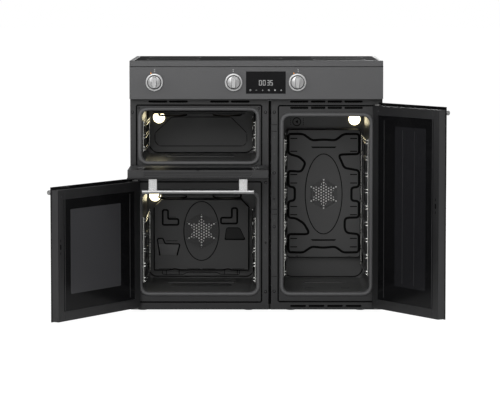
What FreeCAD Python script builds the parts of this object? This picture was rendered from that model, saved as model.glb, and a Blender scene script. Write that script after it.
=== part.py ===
import FreeCAD, Part
import math
import os
import re

import Sketcher

# A 900 mm range cooker: induction hob on a fascia with three concentric
# selectors, and below it three cavities.  The left module holds a low grill
# cavity (drop-down door) above a fan oven (side-hung door); the right module
# holds a tall fan oven (side-hung door).  All three doors are drawn open, as
# they rest; each door is drawn flat in its own frame, whose origin is its
# hinge line, and its Placement swings it open.
#
# Frame of the model: origin on the floor under the middle of the cabinet,
# X to the right, Y to the back, Z up, millimetres.

SIZES = {
    # cabinet
    "cooker_width": 900,
    "cooker_depth": 600,
    "hob_height": 900,
    "underside": 6.5,            # floor to base tray
    "panel_wall": 1.2,           # galvanised cabinet sheet
    "tray_lip": 20,
    "left_width": 493.5,         # width of the left module's front
    "module_gap": 9.5,           # dark joint between the two modules
    "deck_level": 757,           # shelf above the cavities
    # hob
    "trim_height": 21,
    "trim_width": 15,
    "trim_ledge": 7,
    "trim_corner": 6,
    "trim_bevel": 1.5,
    "hob_glass_wall": 4,
    "glass_corner": 2,
    "glass_rim": 0.5,            # hob glass below the top of its trim
    "glass_gap": 0.3,            # hob glass to its trim, all round
    "pan_depth": 12,
    "coil_height": 6,
    "coil_radius": 95,
    "coil_hole": 30,
    # fascia
    "fascia_bottom": 764,
    "fascia_depth": 45,
    "fascia_wall": 2.5,
    "display_left": -36.7,
    "display_width": 140.8,
    "display_bottom": 783,
    "display_height": 79,
    "display_wall": 3,
    "display_proud": 0.4,
    "display_flange": 5,         # wider than the window, behind the fascia
    "selector_level": 823.5,
    "grill_selector": -361.5,
    "main_selector": -80.7,
    "tall_selector": 145.9,
    "ring_radius": 31,
    "ring_depth": 10,
    "ring_floor": 4,             # what is left of the ring under the dial
    "dial_radius": 22.5,
    "dial_proud": 5,             # dial in front of its ring
    "grip_width": 17,
    "grip_length": 41,
    "grip_depth": 16,
    "selector_gap": 0.8,         # running gap between fascia, ring and dial
    "spindle_radius": 3,
    "sleeve_radius": 6,
    "shaft_gap": 0.3,            # running gap round spindle and sleeve
    "sleeve_reach": 13,          # ring's sleeve behind the fascia
    "spindle_reach": 16,
    "shaft_end_gap": 1,          # shaft's end to the floor of its bore
    "pointer_width": 4,
    "pointer_length": 6.5,
    "pointer_over": 1.5,         # pointer past the ring's edge
    "pointer_proud": 1,
    "switch_size": 42,
    "switch_depth": 24,
    "lamp_dot_radius": 1.8,
    "lamp_dot_proud": 0.6,
    "lamp_dot_collar": 1.5,      # lens wider behind the fascia
    "lamp_dot_depth": 3,
    "lamp_dot_side": 12.5,       # indicator left of its selector
    "lamp_dot_level": 855.4,
    # front frames
    "frame_wall": 3.5,
    "recess_depth": 2,
    "recess_side": 22,
    "recess_corner": 6,
    "mouth_gap": 1.5,            # frame's opening wider than the cavity's
    "slot_height": 8,
    "slot_level": 753,
    "second_slot_level": 730.6,
    "low_slot_level": 19.2,
    # cavities
    "cavity_wall": 1.2,
    "cavity_corner": 22,
    "flange_width": 14,
    "side_to_cavity": 42,        # cabinet side to the left cavities
    "left_cavity_width": 407.5,
    "right_to_tall": 46,         # cabinet side to the tall cavity
    "tall_cavity_width": 306,
    "grill_floor": 540,
    "grill_height": 180,
    "grill_back": 185,
    "grill_recess_low": 24,
    "grill_recess_high": 23,
    "main_floor": 70,
    "main_height": 354,
    "fan_oven_back": 200,
    "main_recess_low": 39.5,
    "main_recess_high": 44.5,
    "tall_floor": 70,
    "tall_height": 630,
    "tall_recess_low": 38,
    "tall_recess_high": 41,
    "bead_height": 2,
    "bead_width": 14,
    "bead_inset": 76,            # bead's end to the cavity's side
    "grill_bead_middle": 6,
    "fan_bead_middle": 42,
    "emboss_height": 1.5,        # field pressed into the grill's back wall
    "insulation_wall": 20,
    # door seals
    "seal_width": 13,
    "seal_height": 10,
    "seal_bevel": 4,
    "seal_clear": 0.8,           # seal's inner edge to the cavity's edge
    # fans and covers
    "main_fan_level": 249,
    "tall_fan_level": 388,
    "cover_wall": 1.2,
    "cover_depth": 30,           # fan cover in front of the back wall
    "main_cover_width": 357,
    "main_cover_low": 148,       # fan centre down to the cover's edge
    "main_cover_high": 119,
    "cover_chamfer": 30,
    "tall_cover_width": 279,
    "tall_cover_low": 240,
    "tall_cover_high": 243,
    "hole_pitch": 12.6,
    "hole_radius": 4.3,          # half a diamond hole's diagonal
    "groove_width": 4,
    "groove_depth": 0.6,
    "channel_width": 9,
    "main_oval_width": 134,
    "main_oval_height": 225,
    "tall_oval_width": 140,
    "tall_oval_height": 304,
    "notch_length": 26,
    "notch_width": 3,
    "notch_side": 112,           # fan's axis to the middle of a notch
    "cover_slot_length": 96,
    "cover_slot_width": 5,
    "fan_clear": 9,              # cover's inside to the fan's plate
    "fan_radius": 64,
    "fan_wall": 2,
    "fan_hub_radius": 11,
    "fan_hub_depth": 12,
    "fan_hub_nose": 2,           # hub in front of the plate
    "blade_depth": 9,
    "motor_radius": 30,
    "motor_gap": 2,              # motor to the wool round it
    "motor_depth": 45,
    "motor_shaft_radius": 4,
    "ring_heater_radius": 84,
    "heater_radius": 3.3,
    "element_inset": 55,         # roof element in from the cavity's sides
    "element_drop": 22,          # roof element below the roof
    "element_rear": 60,          # its rear bends to the back wall
    "grill_element_front": 90,   # front frame to its front bends
    "main_element_front": 60,
    "heater_inset": 12,          # fan cover to its ring heater
    "tail_spacing": 20,
    "tail_radius": 2.5,
    "lamp_radius": 21.5,
    "lamp_depth": 9,
    "lamp_rim": 4,               # dome wider than its neck
    "lamp_neck": 30,
    # side racks
    "rack_wire": 1.8,            # half the side of a square wire
    "rack_upright": 2.5,
    "rack_reach": 12,            # runner to the cavity's side
    "rack_pair": 11,             # upper to lower wire of one level
    "rack_over": 6,              # posts past the last wires
    "rack_front": 40,            # cavity mouth to the front upright
    "rack_rear": 70,             # back wall to the rear upright
    "grill_rack_levels": 3,
    "grill_rack_pitch": 44,
    "grill_rack_first": 42,
    "main_rack_levels": 5,
    "main_rack_pitch": 53.5,
    "main_rack_first": 40,
    "tall_rack_levels": 9,
    "tall_rack_pitch": 59,
    "tall_rack_first": 64,
    # doors
    "door_gap": 9,               # front frame to the door's inner face
    "door_thickness": 31,
    "door_glass_wall": 4,
    "door_inset": 1.5,           # metal frame inside the outer glass
    "door_top_inset": 10,
    "door_rail": 39,             # inner frame's visible border
    "door_rebate": 6,
    "inner_glass_wall": 4,
    "pane_setback": 1,           # inner glass behind the frame's face
    "pane_gap": 0.3,
    "grill_door_bottom": 496,
    "door_top": 750,
    "main_door_bottom": 16,
    "main_door_top": 480,
    "tall_door_bottom": 15,
    "tall_door_width": 398,
    "left_door_width": 493,
    "vent_length": 375,
    "vent_depth": 9,
    "vent_width": 14,
    "vent_inset": 5,
    "vent_corner": 3,
    "tall_vent_length": 275,
    "drop_angle": 90,
    "swing_angle": 122.3,
    # hinges
    "swing_inset": 13,           # side hinge line to the door's edge
    "swing_back": 12,            # side hinge line behind the outer glass
    "drop_rise": 15,             # drop-down hinge line above the door's edge
    "drop_back": 16,
    "pin_radius": 4,
    "pin_gap": 0.1,
    "bore_depth": 14,
    "pin_reach": 12,             # pin inside its bore
    "bracket_wall": 3,
    "bracket_gap": 1,
    "bracket_start": 2,          # hinge line to the plate's near edge
    "bracket_length": 14,        # hinge line to its far edge
    "nose_radius": 6,            # round end of a bracket
    "arm_wall": 6,
    "arm_gap": 2,
    "arm_inset": 9,              # arm to the door's edge
    "claw_radius": 7,
    "drop_pin_reach": 11,        # pin past the arm
    "notch_reach": 10,           # clear space round the claw in the door
    "catch_inset": 10.5,
    "catch_radius": 4,
    "catch_length": 5,
    "catch_tip_radius": 2.5,
    "catch_tip_length": 3,
    "tall_catch_level": 406,
    # handles
    "handle_radius": 7.5,
    "handle_end_radius": 8.2,
    "handle_end_length": 74,
    "handle_reach": 45,          # bar axis in front of the outer glass
    "handle_drop": 24,           # bar axis below the door's top edge
    "handle_inset": 51,          # bar end to the door's edge
    "bracket_width": 30,
    "bracket_height": 14,
    "bracket_inset": 38,         # bracket's middle to the bar's end
    # electrics
    "blower_length": 320,
    "blower_wall": 3,
    "blower_mouth": 20,          # height of the air outlet
    "blower_throat": 62,
    # feet and rear
    "foot_radius": 17.5,
    "foot_stem_radius": 5,
    "foot_stem_length": 22,
    "foot_front": 55,            # feet in from the front frames
    "foot_rear": 50,
    "rear_slot_start": -310,     # six slots, even about the middle
    "rear_slot_length": 70,
    "rear_slot_level": 800,
    "inlet_radius": 11,
    "inlet_wall": 3,
    "inlet_level": 24,           # above the terminal box's floor
    "terminal_wall": 2,
    "terminal_width": 110,
    "terminal_height": 80,
    "terminal_depth": 40,
    "terminal_right": 40,
    "terminal_level": 640,
    "tie_hole_radius": 3,
    "tie_spacing": 500,
    "tie_level": 720,
}

PLACES = {
    # planes that several pieces share, worked out from the sheet
    "left_side": "-cooker_width / 2",
    "right_side": "cooker_width / 2",
    "fascia_face": "-cooker_depth / 2",
    "rear_face": "cooker_depth / 2",
    "frame_face": "fascia_face + fascia_depth",
    "frame_back": "frame_face + frame_wall",
    "hob_seat": "hob_height - trim_height",
    "deck_top": "deck_level + panel_wall",
    "blower_front": "fascia_face + 110",
    "glass_seat": "hob_height - glass_rim - hob_glass_wall",
    "left_end": "left_side + left_width",
    "right_start": "left_end + module_gap",
    "left_cavity": "left_side + side_to_cavity",
    "left_cavity_end": "left_cavity + left_cavity_width",
    "left_centre": "left_cavity + left_cavity_width / 2",
    "tall_cavity_end": "right_side - right_to_tall",
    "tall_cavity": "tall_cavity_end - tall_cavity_width",
    "tall_fan_axis": "tall_cavity + tall_cavity_width / 2 + 2",
    "grill_roof": "grill_floor + grill_height",
    "main_roof": "main_floor + main_height",
    "tall_roof": "tall_floor + tall_height",
    "seal_seat": "frame_face + recess_depth",
    "cover_face": "fan_oven_back - cover_depth",
    "door_inner": "frame_face - door_gap",
    "door_outer": "door_inner - door_thickness",
    "swing_line": "door_outer + swing_back",
    "drop_line": "door_outer + drop_back",
    "drop_level": "grill_door_bottom + drop_rise",
    "main_hinge": "left_side + swing_inset",
    "tall_hinge": "right_side - swing_inset",
    "switch_face": "fascia_face + fascia_wall",
}

doc = FreeCAD.newDocument("range_cooker")
NODES = []


def formula(text):
    """A formula with the owner's name put before each named value."""

    def owned(match):
        word = match.group(0)
        if word in SIZES:
            return "Sizes." + word
        return "Places." + word if word in PLACES else word

    return re.sub(r"[a-z_]+", owned, str(text))


def fill_sheet():
    """The driving dimensions, one aliased cell each."""
    sheet = doc.addObject("Spreadsheet::Sheet", "Sizes")
    for row, (alias, value) in enumerate(SIZES.items(), start=1):
        sheet.set(f"A{row}", str(value))
        sheet.setAlias(f"A{row}", alias)
    places = doc.addObject("App::VarSet", "Places")
    for name, text in PLACES.items():
        places.addProperty("App::PropertyFloat", name, "Places")
        places.setExpression(name, formula(text))
    ruler = doc.addObject("App::VarSet", "Ruler")
    ruler.addProperty("App::PropertyFloat", "reading", "Ruler")
    doc.recompute()


def number(text):
    """The present value of a formula, for starting geometry and plain shapes."""
    ruler = doc.Ruler
    ruler.setExpression("reading", formula(text))
    ruler.recompute()
    return ruler.reading


def tie(item, **formulas):
    """Bind properties of an object to formulas."""
    for name, text in formulas.items():
        item.setExpression(name, formula(text))
    return item


def move(item, x=0, y=0, z=0, turn=None):
    """Bind an object's place to formulas; turn is (axis, angle formula)."""
    if turn:
        item.Placement = FreeCAD.Placement(
            FreeCAD.Vector(), FreeCAD.Rotation(FreeCAD.Vector(*turn[0]), 10))
        item.setExpression("Placement.Rotation.Angle", formula(turn[1]))
    for letter, text in zip("xyz", (x, y, z)):
        item.setExpression("Placement.Base." + letter, formula(text))
    return item


def node(item, label):
    """Name an object as one separate piece of the cooker."""
    item.Label = label
    NODES.append(item)
    return item


# ---------------------------------------------------------------- sketches

PLANES = {"top": ("XY_Plane", 1), "front": ("XZ_Plane", -1), "side": ("YZ_Plane", 1)}


def pin(sketch, piece, point, x, y):
    """Hold one point of a sketch at two signed distances from the origin."""
    for kind, text in (("DistanceX", x), ("DistanceY", y)):
        index = sketch.addConstraint(
            Sketcher.Constraint(kind, -1, 1, piece, point, number(text)))
        sketch.setExpression(f"Constraints[{index}]", formula(text))


def polygon(points):
    """A closed outline through corner points given as pairs of formulas."""

    def draw(sketch):
        spots = [FreeCAD.Vector(number(x), number(y), 0) for x, y in points]
        sides = [
            sketch.addGeometry(Part.LineSegment(a, b), False)
            for a, b in zip(spots, spots[1:] + spots[:1])
        ]
        for here, following in zip(sides, sides[1:] + sides[:1]):
            sketch.addConstraint(Sketcher.Constraint("Coincident", here, 2, following, 1))
        for side, (x, y) in zip(sides, points):
            pin(sketch, side, 1, x, y)

    return draw


def rectangle(x0, x1, y0, y1):
    """A square-cornered opening or plate between four formulas."""
    return polygon([(x0, y0), (x1, y0), (x1, y1), (x0, y1)])


def rounded(x0, x1, y0, y1, radius):
    """A rectangle between four formulas whose corners are arcs of one radius."""

    def draw(sketch):
        left, right, low, high = (number(text) for text in (x0, x1, y0, y1))
        r = number(radius)
        corners = [
            (right - r, low + r, -90), (right - r, high - r, 0),
            (left + r, high - r, 90), (left + r, low + r, 180),
        ]
        arcs = []
        for x, y, start in corners:
            ring = Part.Circle(FreeCAD.Vector(x, y, 0), FreeCAD.Vector(0, 0, 1), r)
            arc = Part.ArcOfCircle(ring, math.radians(start), math.radians(start + 90))
            arcs.append(sketch.addGeometry(arc, False))
        for here, following in zip(arcs, arcs[1:] + arcs[:1]):
            run = Part.LineSegment(
                sketch.getPoint(here, 2), sketch.getPoint(following, 1))
            line = sketch.addGeometry(run, False)
            sketch.addConstraint(Sketcher.Constraint("Tangent", here, 2, line, 1))
            sketch.addConstraint(Sketcher.Constraint("Tangent", line, 2, following, 1))
            kind = "Vertical" if here in (arcs[0], arcs[2]) else "Horizontal"
            sketch.addConstraint(Sketcher.Constraint(kind, line))
            if here != arcs[0]:
                sketch.addConstraint(Sketcher.Constraint("Equal", arcs[0], here))
        index = sketch.addConstraint(Sketcher.Constraint("Radius", arcs[0], r))
        sketch.setExpression(f"Constraints[{index}]", formula(radius))
        pin(sketch, arcs[0], 3, f"({x1}) - ({radius})", f"({y0}) + ({radius})")
        pin(sketch, arcs[2], 3, f"({x0}) + ({radius})", f"({y1}) - ({radius})")

    return draw


def softened(x0, x1, y0, y1, radius, chords=1):
    """A rectangle between four formulas, each corner cut along chords of an arc."""
    corners = []
    for quarter in range(4):
        for step in range(chords + 1):
            turn = math.radians(90 * (quarter + step / chords) - 90)
            across, up = math.cos(turn), math.sin(turn)
            corners.append((
                f"({x1}) + ({radius}) * {across - 1:.6f}" if quarter < 2
                else f"({x0}) + ({radius}) * {across + 1:.6f}",
                f"({y1}) + ({radius}) * {up - 1:.6f}" if quarter in (1, 2)
                else f"({y0}) + ({radius}) * {up + 1:.6f}"))
    return polygon(corners)


def many_sided(x, y, radius, sides, start=0):
    """A regular outline, its corners on a circle, the first at a share of one side."""
    corners = []
    for step in range(sides):
        turn = math.tau * (step + start) / sides
        corners.append((f"({x}) + ({radius}) * {math.cos(turn):.6f}",
                        f"({y}) + ({radius}) * {math.sin(turn):.6f}"))
    return polygon(corners)


# Corner radius over flat radius of an octagon, for bores that clear a round shaft.
OCTAGON = f"{1 / math.cos(math.pi / 8):.6f}"


def octagon_bore(x, y, radius):
    """An eight-sided bore whose flats clear a circle of the radius."""
    return many_sided(x, y, f"({radius}) * {OCTAGON}", 8, 0.5)


def circle(x, y, radius):
    """A round hole or disc."""

    def draw(sketch):
        centre = FreeCAD.Vector(number(x), number(y), 0)
        ring = Part.Circle(centre, FreeCAD.Vector(0, 0, 1), number(radius))
        piece = sketch.addGeometry(ring, False)
        index = sketch.addConstraint(Sketcher.Constraint("Radius", piece, number(radius)))
        sketch.setExpression(f"Constraints[{index}]", formula(radius))
        pin(sketch, piece, 3, x, y)

    return draw


def new_body(label, own_node=True):
    body = doc.addObject("PartDesign::Body", label)
    return node(body, label) if own_node else body


def sketched(body, kind, plane, level, depth, loops):
    """One pad or pocket that runs from a level towards the plane's plus side."""
    role, sense = PLANES[plane]
    base = next(f for f in body.Origin.OriginFeatures if f.Role == role)
    sketch = body.newObject("Sketcher::SketchObject", body.Name + "_sketch")
    sketch.AttachmentSupport = [(base, "")]
    sketch.MapMode = "FlatFace"
    sketch.setExpression("AttachmentOffset.Base.z", formula(f"{sense} * ({level})"))
    for draw in loops:
        draw(sketch)
    feature = body.newObject("PartDesign::" + kind, f"{body.Name}_{kind}")
    feature.Profile = sketch
    feature.setExpression("Length", formula(depth))
    feature.Reversed = (sense > 0) if kind == "Pocket" else (sense < 0)
    return feature


def pad(body, plane, level, depth, *loops):
    return sketched(body, "Pad", plane, level, depth, loops)


def pocket(body, plane, level, depth, *loops):
    return sketched(body, "Pocket", plane, level, depth, loops)


def bevel(body, size, wanted):
    """Break the edges of a body's tip that a test function picks."""
    doc.recompute()
    tip = body.Tip
    names = [
        f"Edge{index}" for index, edge in enumerate(tip.Shape.Edges, start=1)
        if wanted(edge)
    ]
    feature = body.newObject("PartDesign::Chamfer", body.Name + "_bevel")
    feature.Base = (tip, names)
    feature.setExpression("Size", formula(size))
    return feature


def in_plane(axis, level):
    """A test for edges that lie in the plane at a level across an axis."""
    letter = "XYZ".index(axis)
    height = number(level)

    def test(edge):
        box = edge.BoundBox
        low = (box.XMin, box.YMin, box.ZMin)[letter]
        high = (box.XMax, box.YMax, box.ZMax)[letter]
        return abs(low - height) < 1e-4 and abs(high - height) < 1e-4

    return test


# -------------------------------------------------------------- primitives

def block(x0, x1, y0, y1, z0, z1):
    """A plain box between three pairs of formulas."""
    item = doc.addObject("Part::Box", "block")
    tie(item, Length=f"({x1}) - ({x0})", Width=f"({y1}) - ({y0})", Height=f"({z1}) - ({z0})")
    return move(item, x0, y0, z0)


TURNS = {"x": ((0, 1, 0), "90"), "y": ((1, 0, 0), "-90"), "z": None}


def prism(axis, sides, radius, low, high, **centre):
    """A many-sided bar along one axis, its corners on a circle of the radius."""
    item = doc.addObject("Part::Prism", "prism")
    item.Polygon = sides
    tie(item, Circumradius=radius, Height=f"({high}) - ({low})")
    centre[axis] = low
    return move(item, **centre, turn=TURNS[axis])


def fuse(*items):
    item = doc.addObject("Part::MultiFuse", "fusion")
    item.Shapes = list(items)
    return item


def cut(base, tool):
    item = doc.addObject("Part::Cut", "cut")
    item.Base = base
    item.Tool = tool
    item.Refine = False
    return item


def group(label, items):
    """Several separate solids that are one node, such as a set of feet."""
    item = doc.addObject("Part::Compound", label)
    item.Links = list(items)
    return node(item, label)


def plain(shape, name="shape"):
    """A shape made with Part's own functions, where no feature gives it."""
    item = doc.addObject("Part::Feature", name)
    item.Shape = shape
    return item


# ----------------------------------------------------------------- cabinet

def base_tray():
    body = new_body("base_tray")
    back = "rear_face - panel_wall"
    side = "right_side - panel_wall"
    pad(body, "top", "underside", "tray_lip",
        rectangle(f"-({side})", side, "frame_back", back))
    pocket(body, "top", "underside + panel_wall", "tray_lip",
           rectangle(f"-({side}) + panel_wall", f"{side} - panel_wall",
                     "frame_back + panel_wall", f"{back} - panel_wall"))
    pocket(body, "top", "underside", "panel_wall",
           *[many_sided(x, y, "foot_stem_radius", 6) for x, y in foot_places()])


FOOT_COLUMNS = {"far_left": "left_side + 41", "left_inner": "left_end - 71.5",
                "right_inner": "right_start + 71", "far_right": "right_side - 75"}


def foot_places():
    rows = ("frame_face + foot_front", "rear_face - foot_rear")
    return [(x, y) for x in FOOT_COLUMNS.values() for y in rows]


def adjustable_feet():
    feet = []
    for x, y in foot_places():
        pad_disc = prism("z", 8, "foot_radius", "0", "underside", x=x, y=y)
        stem = prism("z", 6, "foot_stem_radius", "underside", "foot_stem_length", x=x, y=y)
        feet.append(fuse(pad_disc, stem))
    group("adjustable_feet", feet)


def side_panel(label, wall_side, inner_side):
    """A channel: flat side with its front and rear edges turned inwards."""
    body = new_body(label)
    sign = "+" if inner_side == "right" else "-"
    inner = f"{wall_side} {sign} panel_wall"
    lip = f"{wall_side} {sign} tray_lip"
    front, back = "frame_back", "rear_face - panel_wall"
    pad(body, "top", "underside", "hob_seat - underside", polygon([
        (wall_side, front), (lip, front), (lip, f"{front} + panel_wall"),
        (inner, f"{front} + panel_wall"), (inner, f"{back} - panel_wall"),
        (lip, f"{back} - panel_wall"), (lip, back), (wall_side, back)]))
    tray_side = f"{wall_side} {sign} (tray_lip + 1)"
    ends = (tray_side, inner) if sign == "-" else (inner, tray_side)
    pocket(body, "top", "underside", "tray_lip",
           rectangle(*ends, front, back))


def rear_panel():
    body = new_body("rear_panel")
    pad(body, "front", "rear_face - panel_wall", "panel_wall",
        rectangle("left_side", "right_side", "underside", "hob_seat"),
        rectangle("terminal_right - terminal_width", "terminal_right",
                  "terminal_level", "terminal_level + terminal_height"),
        circle("-tie_spacing / 2", "tie_level", "tie_hole_radius"),
        circle("tie_spacing / 2", "tie_level", "tie_hole_radius"))
    first = pocket(body, "front", "rear_face - panel_wall", "panel_wall",
                   softened("rear_slot_start", "rear_slot_start + rear_slot_length",
                            "rear_slot_level", "rear_slot_level + slot_height",
                            "slot_height / 3"))
    row = body.newObject("PartDesign::LinearPattern", "rear_slots")
    row.Originals = [first]
    row.Direction = (first.Profile[0], ["H_Axis"])
    row.setExpression("Length", formula("-2 * rear_slot_start - rear_slot_length"))
    row.Occurrences = 6
    body.Tip = row


def module_divider():
    body = new_body("module_divider")
    middle = "(left_end + right_start) / 2"
    pad(body, "side", f"{middle} - panel_wall / 2", "panel_wall",
        rectangle("frame_back + panel_wall", "rear_face - 2 * panel_wall",
                  "underside + panel_wall", "deck_level"))


def cavity_deck():
    """The shelf over the cavities that carries the electrics."""
    body = new_body("cavity_deck")
    side = "right_side - panel_wall"
    pad(body, "top", "deck_level", "panel_wall",
        rectangle(f"-({side})", side, "frame_back + panel_wall",
                  "rear_face - 2 * panel_wall"))


# --------------------------------------------------------------------- hob

def hob_trim():
    body = new_body("hob_trim")
    inner_x = "right_side - trim_width"
    inner_y = "rear_face - trim_width"
    pad(body, "top", "hob_seat", "trim_height",
        rounded("left_side", "right_side", "fascia_face", "rear_face", "trim_corner"),
        rectangle(f"-({inner_x}) + trim_ledge", f"{inner_x} - trim_ledge",
                  f"-({inner_y}) + trim_ledge", f"{inner_y} - trim_ledge"))
    pocket(body, "top", "glass_seat", "hob_glass_wall + glass_rim",
           rectangle(f"-({inner_x})", inner_x, f"-({inner_y})", inner_y))
    bevel(body, "trim_bevel", in_plane("Z", "hob_height"))


def hob_glass():
    body = new_body("hob_glass")
    inner_x = "right_side - trim_width - glass_gap"
    inner_y = "rear_face - trim_width - glass_gap"
    pad(body, "top", "glass_seat", "hob_glass_wall",
        softened(f"-({inner_x})", inner_x, f"-({inner_y})", inner_y, "glass_corner"))


def coil_pan():
    """The shallow metal tray under the glass that holds the coils."""
    body = new_body("coil_pan")
    side = "right_side - trim_width - trim_ledge"
    back = "rear_face - trim_width - trim_ledge"
    pad(body, "top", "glass_seat - pan_depth", "pan_depth",
        rectangle(f"-({side})", side, f"-({back})", back))
    pocket(body, "top", "glass_seat - pan_depth + panel_wall", "pan_depth",
           rectangle(f"-({side}) + panel_wall", f"{side} - panel_wall",
                     f"-({back}) + panel_wall", f"{back} - panel_wall"))


COILS = {"rear_left": (-300, 140), "front_left": (-300, -130), "middle": (0, 0),
         "rear_right": (300, 140), "front_right": (300, -130)}


def induction_coils():
    floor = "glass_seat - pan_depth + panel_wall"
    coils = []
    for x, y in COILS.values():
        disc = prism("z", 12, "coil_radius", floor, f"{floor} + coil_height", x=x, y=y)
        hole = prism("z", 6, "coil_hole", floor, f"{floor} + coil_height", x=x, y=y)
        coils.append(cut(disc, hole))
    group("induction_coils", coils)


# ------------------------------------------------------------------ fascia

SELECTORS = ("grill_selector", "main_selector", "tall_selector")


def control_panel():
    body = new_body("control_panel")
    pad(body, "front", "fascia_face", "fascia_depth",
        rectangle("left_side", "right_side", "fascia_bottom", "hob_seat"))
    pocket(body, "front", "fascia_face + fascia_wall", "fascia_depth",
           rectangle("left_side + fascia_wall", "right_side - fascia_wall",
                     "fascia_bottom + fascia_wall", "hob_seat - fascia_wall"))
    holes = [octagon_bore(x, "selector_level", "sleeve_radius + shaft_gap")
             for x in SELECTORS]
    dots = [many_sided(x, "lamp_dot_level", "lamp_dot_radius", 6)
            for x in indicator_columns()]
    window = rectangle("display_left", "display_left + display_width",
                       "display_bottom", "display_bottom + display_height")
    pocket(body, "front", "fascia_face", "fascia_wall", *holes, *dots, window)


def indicator_columns():
    return ("grill_selector - lamp_dot_side", "tall_selector - lamp_dot_side")


def display_glass():
    body = new_body("display_glass")
    pad(body, "front", "fascia_face - display_proud", "fascia_wall + display_proud",
        rectangle("display_left", "display_left + display_width",
                  "display_bottom", "display_bottom + display_height"))
    pad(body, "front", "switch_face", "display_wall",
        rectangle("display_left - display_flange",
                  "display_left + display_width + display_flange",
                  "display_bottom - display_flange",
                  "display_bottom + display_height + display_flange"))


def indicator_lights():
    lights = []
    for x in indicator_columns():
        lens = prism("y", 6, "lamp_dot_radius", "fascia_face - lamp_dot_proud",
                     "switch_face", x=x, z="lamp_dot_level")
        collar = prism("y", 6, "lamp_dot_radius + lamp_dot_collar", "switch_face",
                       "switch_face + lamp_dot_depth", x=x, z="lamp_dot_level")
        lights.append(fuse(lens, collar))
    group("indicator_lights", lights)


def rotary_switches():
    """Switch bodies on the back of the fascia, bored for the spindles."""
    switches = []
    half = "switch_size / 2"
    for x in SELECTORS:
        case = block(f"{x} - {half}", f"{x} + {half}", "switch_face",
                     "switch_face + switch_depth",
                     f"selector_level - {half}", f"selector_level + {half}")
        step = "switch_face + sleeve_reach + shaft_end_gap"
        bore = prism("y", 8, f"(sleeve_radius + shaft_gap) * {OCTAGON}", "switch_face",
                     step, x=x, z="selector_level")
        tail = prism("y", 8, f"(spindle_radius + shaft_gap) * {OCTAGON}", step,
                     "switch_face + spindle_reach + shaft_end_gap", x=x, z="selector_level")
        switches.append(cut(case, fuse(bore, tail)))
    group("rotary_switches", switches)


DIAL_SIDES = 20


def selector_knob(label, x):
    """Dial, bar grip and spindle in one turning, drawn about its own axis."""
    body = new_body(label)
    face = "-ring_depth - selector_gap - dial_proud"
    pad(body, "front", face, "dial_proud + ring_depth - ring_floor - selector_gap",
        many_sided("0", "0", "dial_radius", DIAL_SIDES))
    pad(body, "front", f"{face} - grip_depth", "grip_depth",
        softened("-grip_width / 2", "grip_width / 2", "-grip_length / 2",
                 "grip_length / 2", "grip_width / 3"))
    floor = "-ring_floor - 2 * selector_gap"
    pad(body, "front", floor, f"fascia_wall + spindle_reach - ({floor})",
        many_sided("0", "0", "spindle_radius", 8))
    move(body, x, "fascia_face", "selector_level")


def temperature_ring(label, x):
    """The outer ring round the dial, its pointer and its hollow sleeve."""
    body = new_body(label)
    pad(body, "front", "-ring_depth - selector_gap", "ring_depth",
        many_sided("0", "0", "ring_radius", DIAL_SIDES),
        octagon_bore("0", "0", "spindle_radius + shaft_gap"))
    pocket(body, "front", "-ring_depth - selector_gap", "ring_depth - ring_floor",
           many_sided("0", "0", "dial_radius + selector_gap", DIAL_SIDES))
    outer = "-ring_radius - pointer_over"
    pad(body, "front", "-ring_depth - selector_gap - pointer_proud", "ring_depth / 2",
        rectangle("-pointer_width / 2", "pointer_width / 2",
                  outer, f"{outer} + pointer_length"))
    pad(body, "front", "-selector_gap", "selector_gap + fascia_wall + sleeve_reach",
        many_sided("0", "0", "sleeve_radius", 8, 0.5),
        octagon_bore("0", "0", "spindle_radius + shaft_gap"))
    return body


def temperature_rings():
    """The pointers stand at six, half past four and seven o'clock."""
    stands = {"grill": 0, "main": -45, "tall": 30}
    for name, angle in stands.items():
        body = temperature_ring(f"{name}_ring", f"{name}_selector")
        move(body, f"{name}_selector", "fascia_face", "selector_level",
             turn=((0, 1, 0), str(angle)))


# ------------------------------------------------------------ front frames

def recess(left, right, low, high):
    return softened(f"{left} - recess_side", f"{right} + recess_side", low, high,
                    "recess_corner")


def opening(left, right, low, high, grow="0"):
    return rounded(f"{left} - ({grow})", f"{right} + ({grow})", f"{low} - ({grow})",
                   f"{high} + ({grow})", f"cavity_corner + ({grow})")


GRILL = ("left_cavity", "left_cavity_end", "grill_floor", "grill_roof")
MAIN = ("left_cavity", "left_cavity_end", "main_floor", "main_roof")
TALL = ("tall_cavity", "tall_cavity_end", "tall_floor", "tall_roof")


def slot(left, length, level):
    return softened(left, f"{left} + {length}", f"{level} - slot_height / 2",
                    f"{level} + slot_height / 2", "slot_height / 3")


# Air slots, row by row: each slot's start from the frame's left edge, and its length.
LEFT_SLOTS = {"slot_level": [(65.5, 67), (138.5, 67), (285.5, 67), (359.5, 67)]}
UPPER_SLOTS = [(67.5, 65.5), (141.5, 52.5), (201, 52.5), (261, 66)]
RIGHT_SLOTS = {"slot_level": UPPER_SLOTS, "second_slot_level": UPPER_SLOTS,
               "low_slot_level": [(68.5, 57), (134.5, 57), (201, 57), (268, 57)]}


def common(base, tool):
    item = doc.addObject("Part::Common", "common")
    item.Base = base
    item.Tool = tool
    item.Refine = False
    return item


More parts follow.
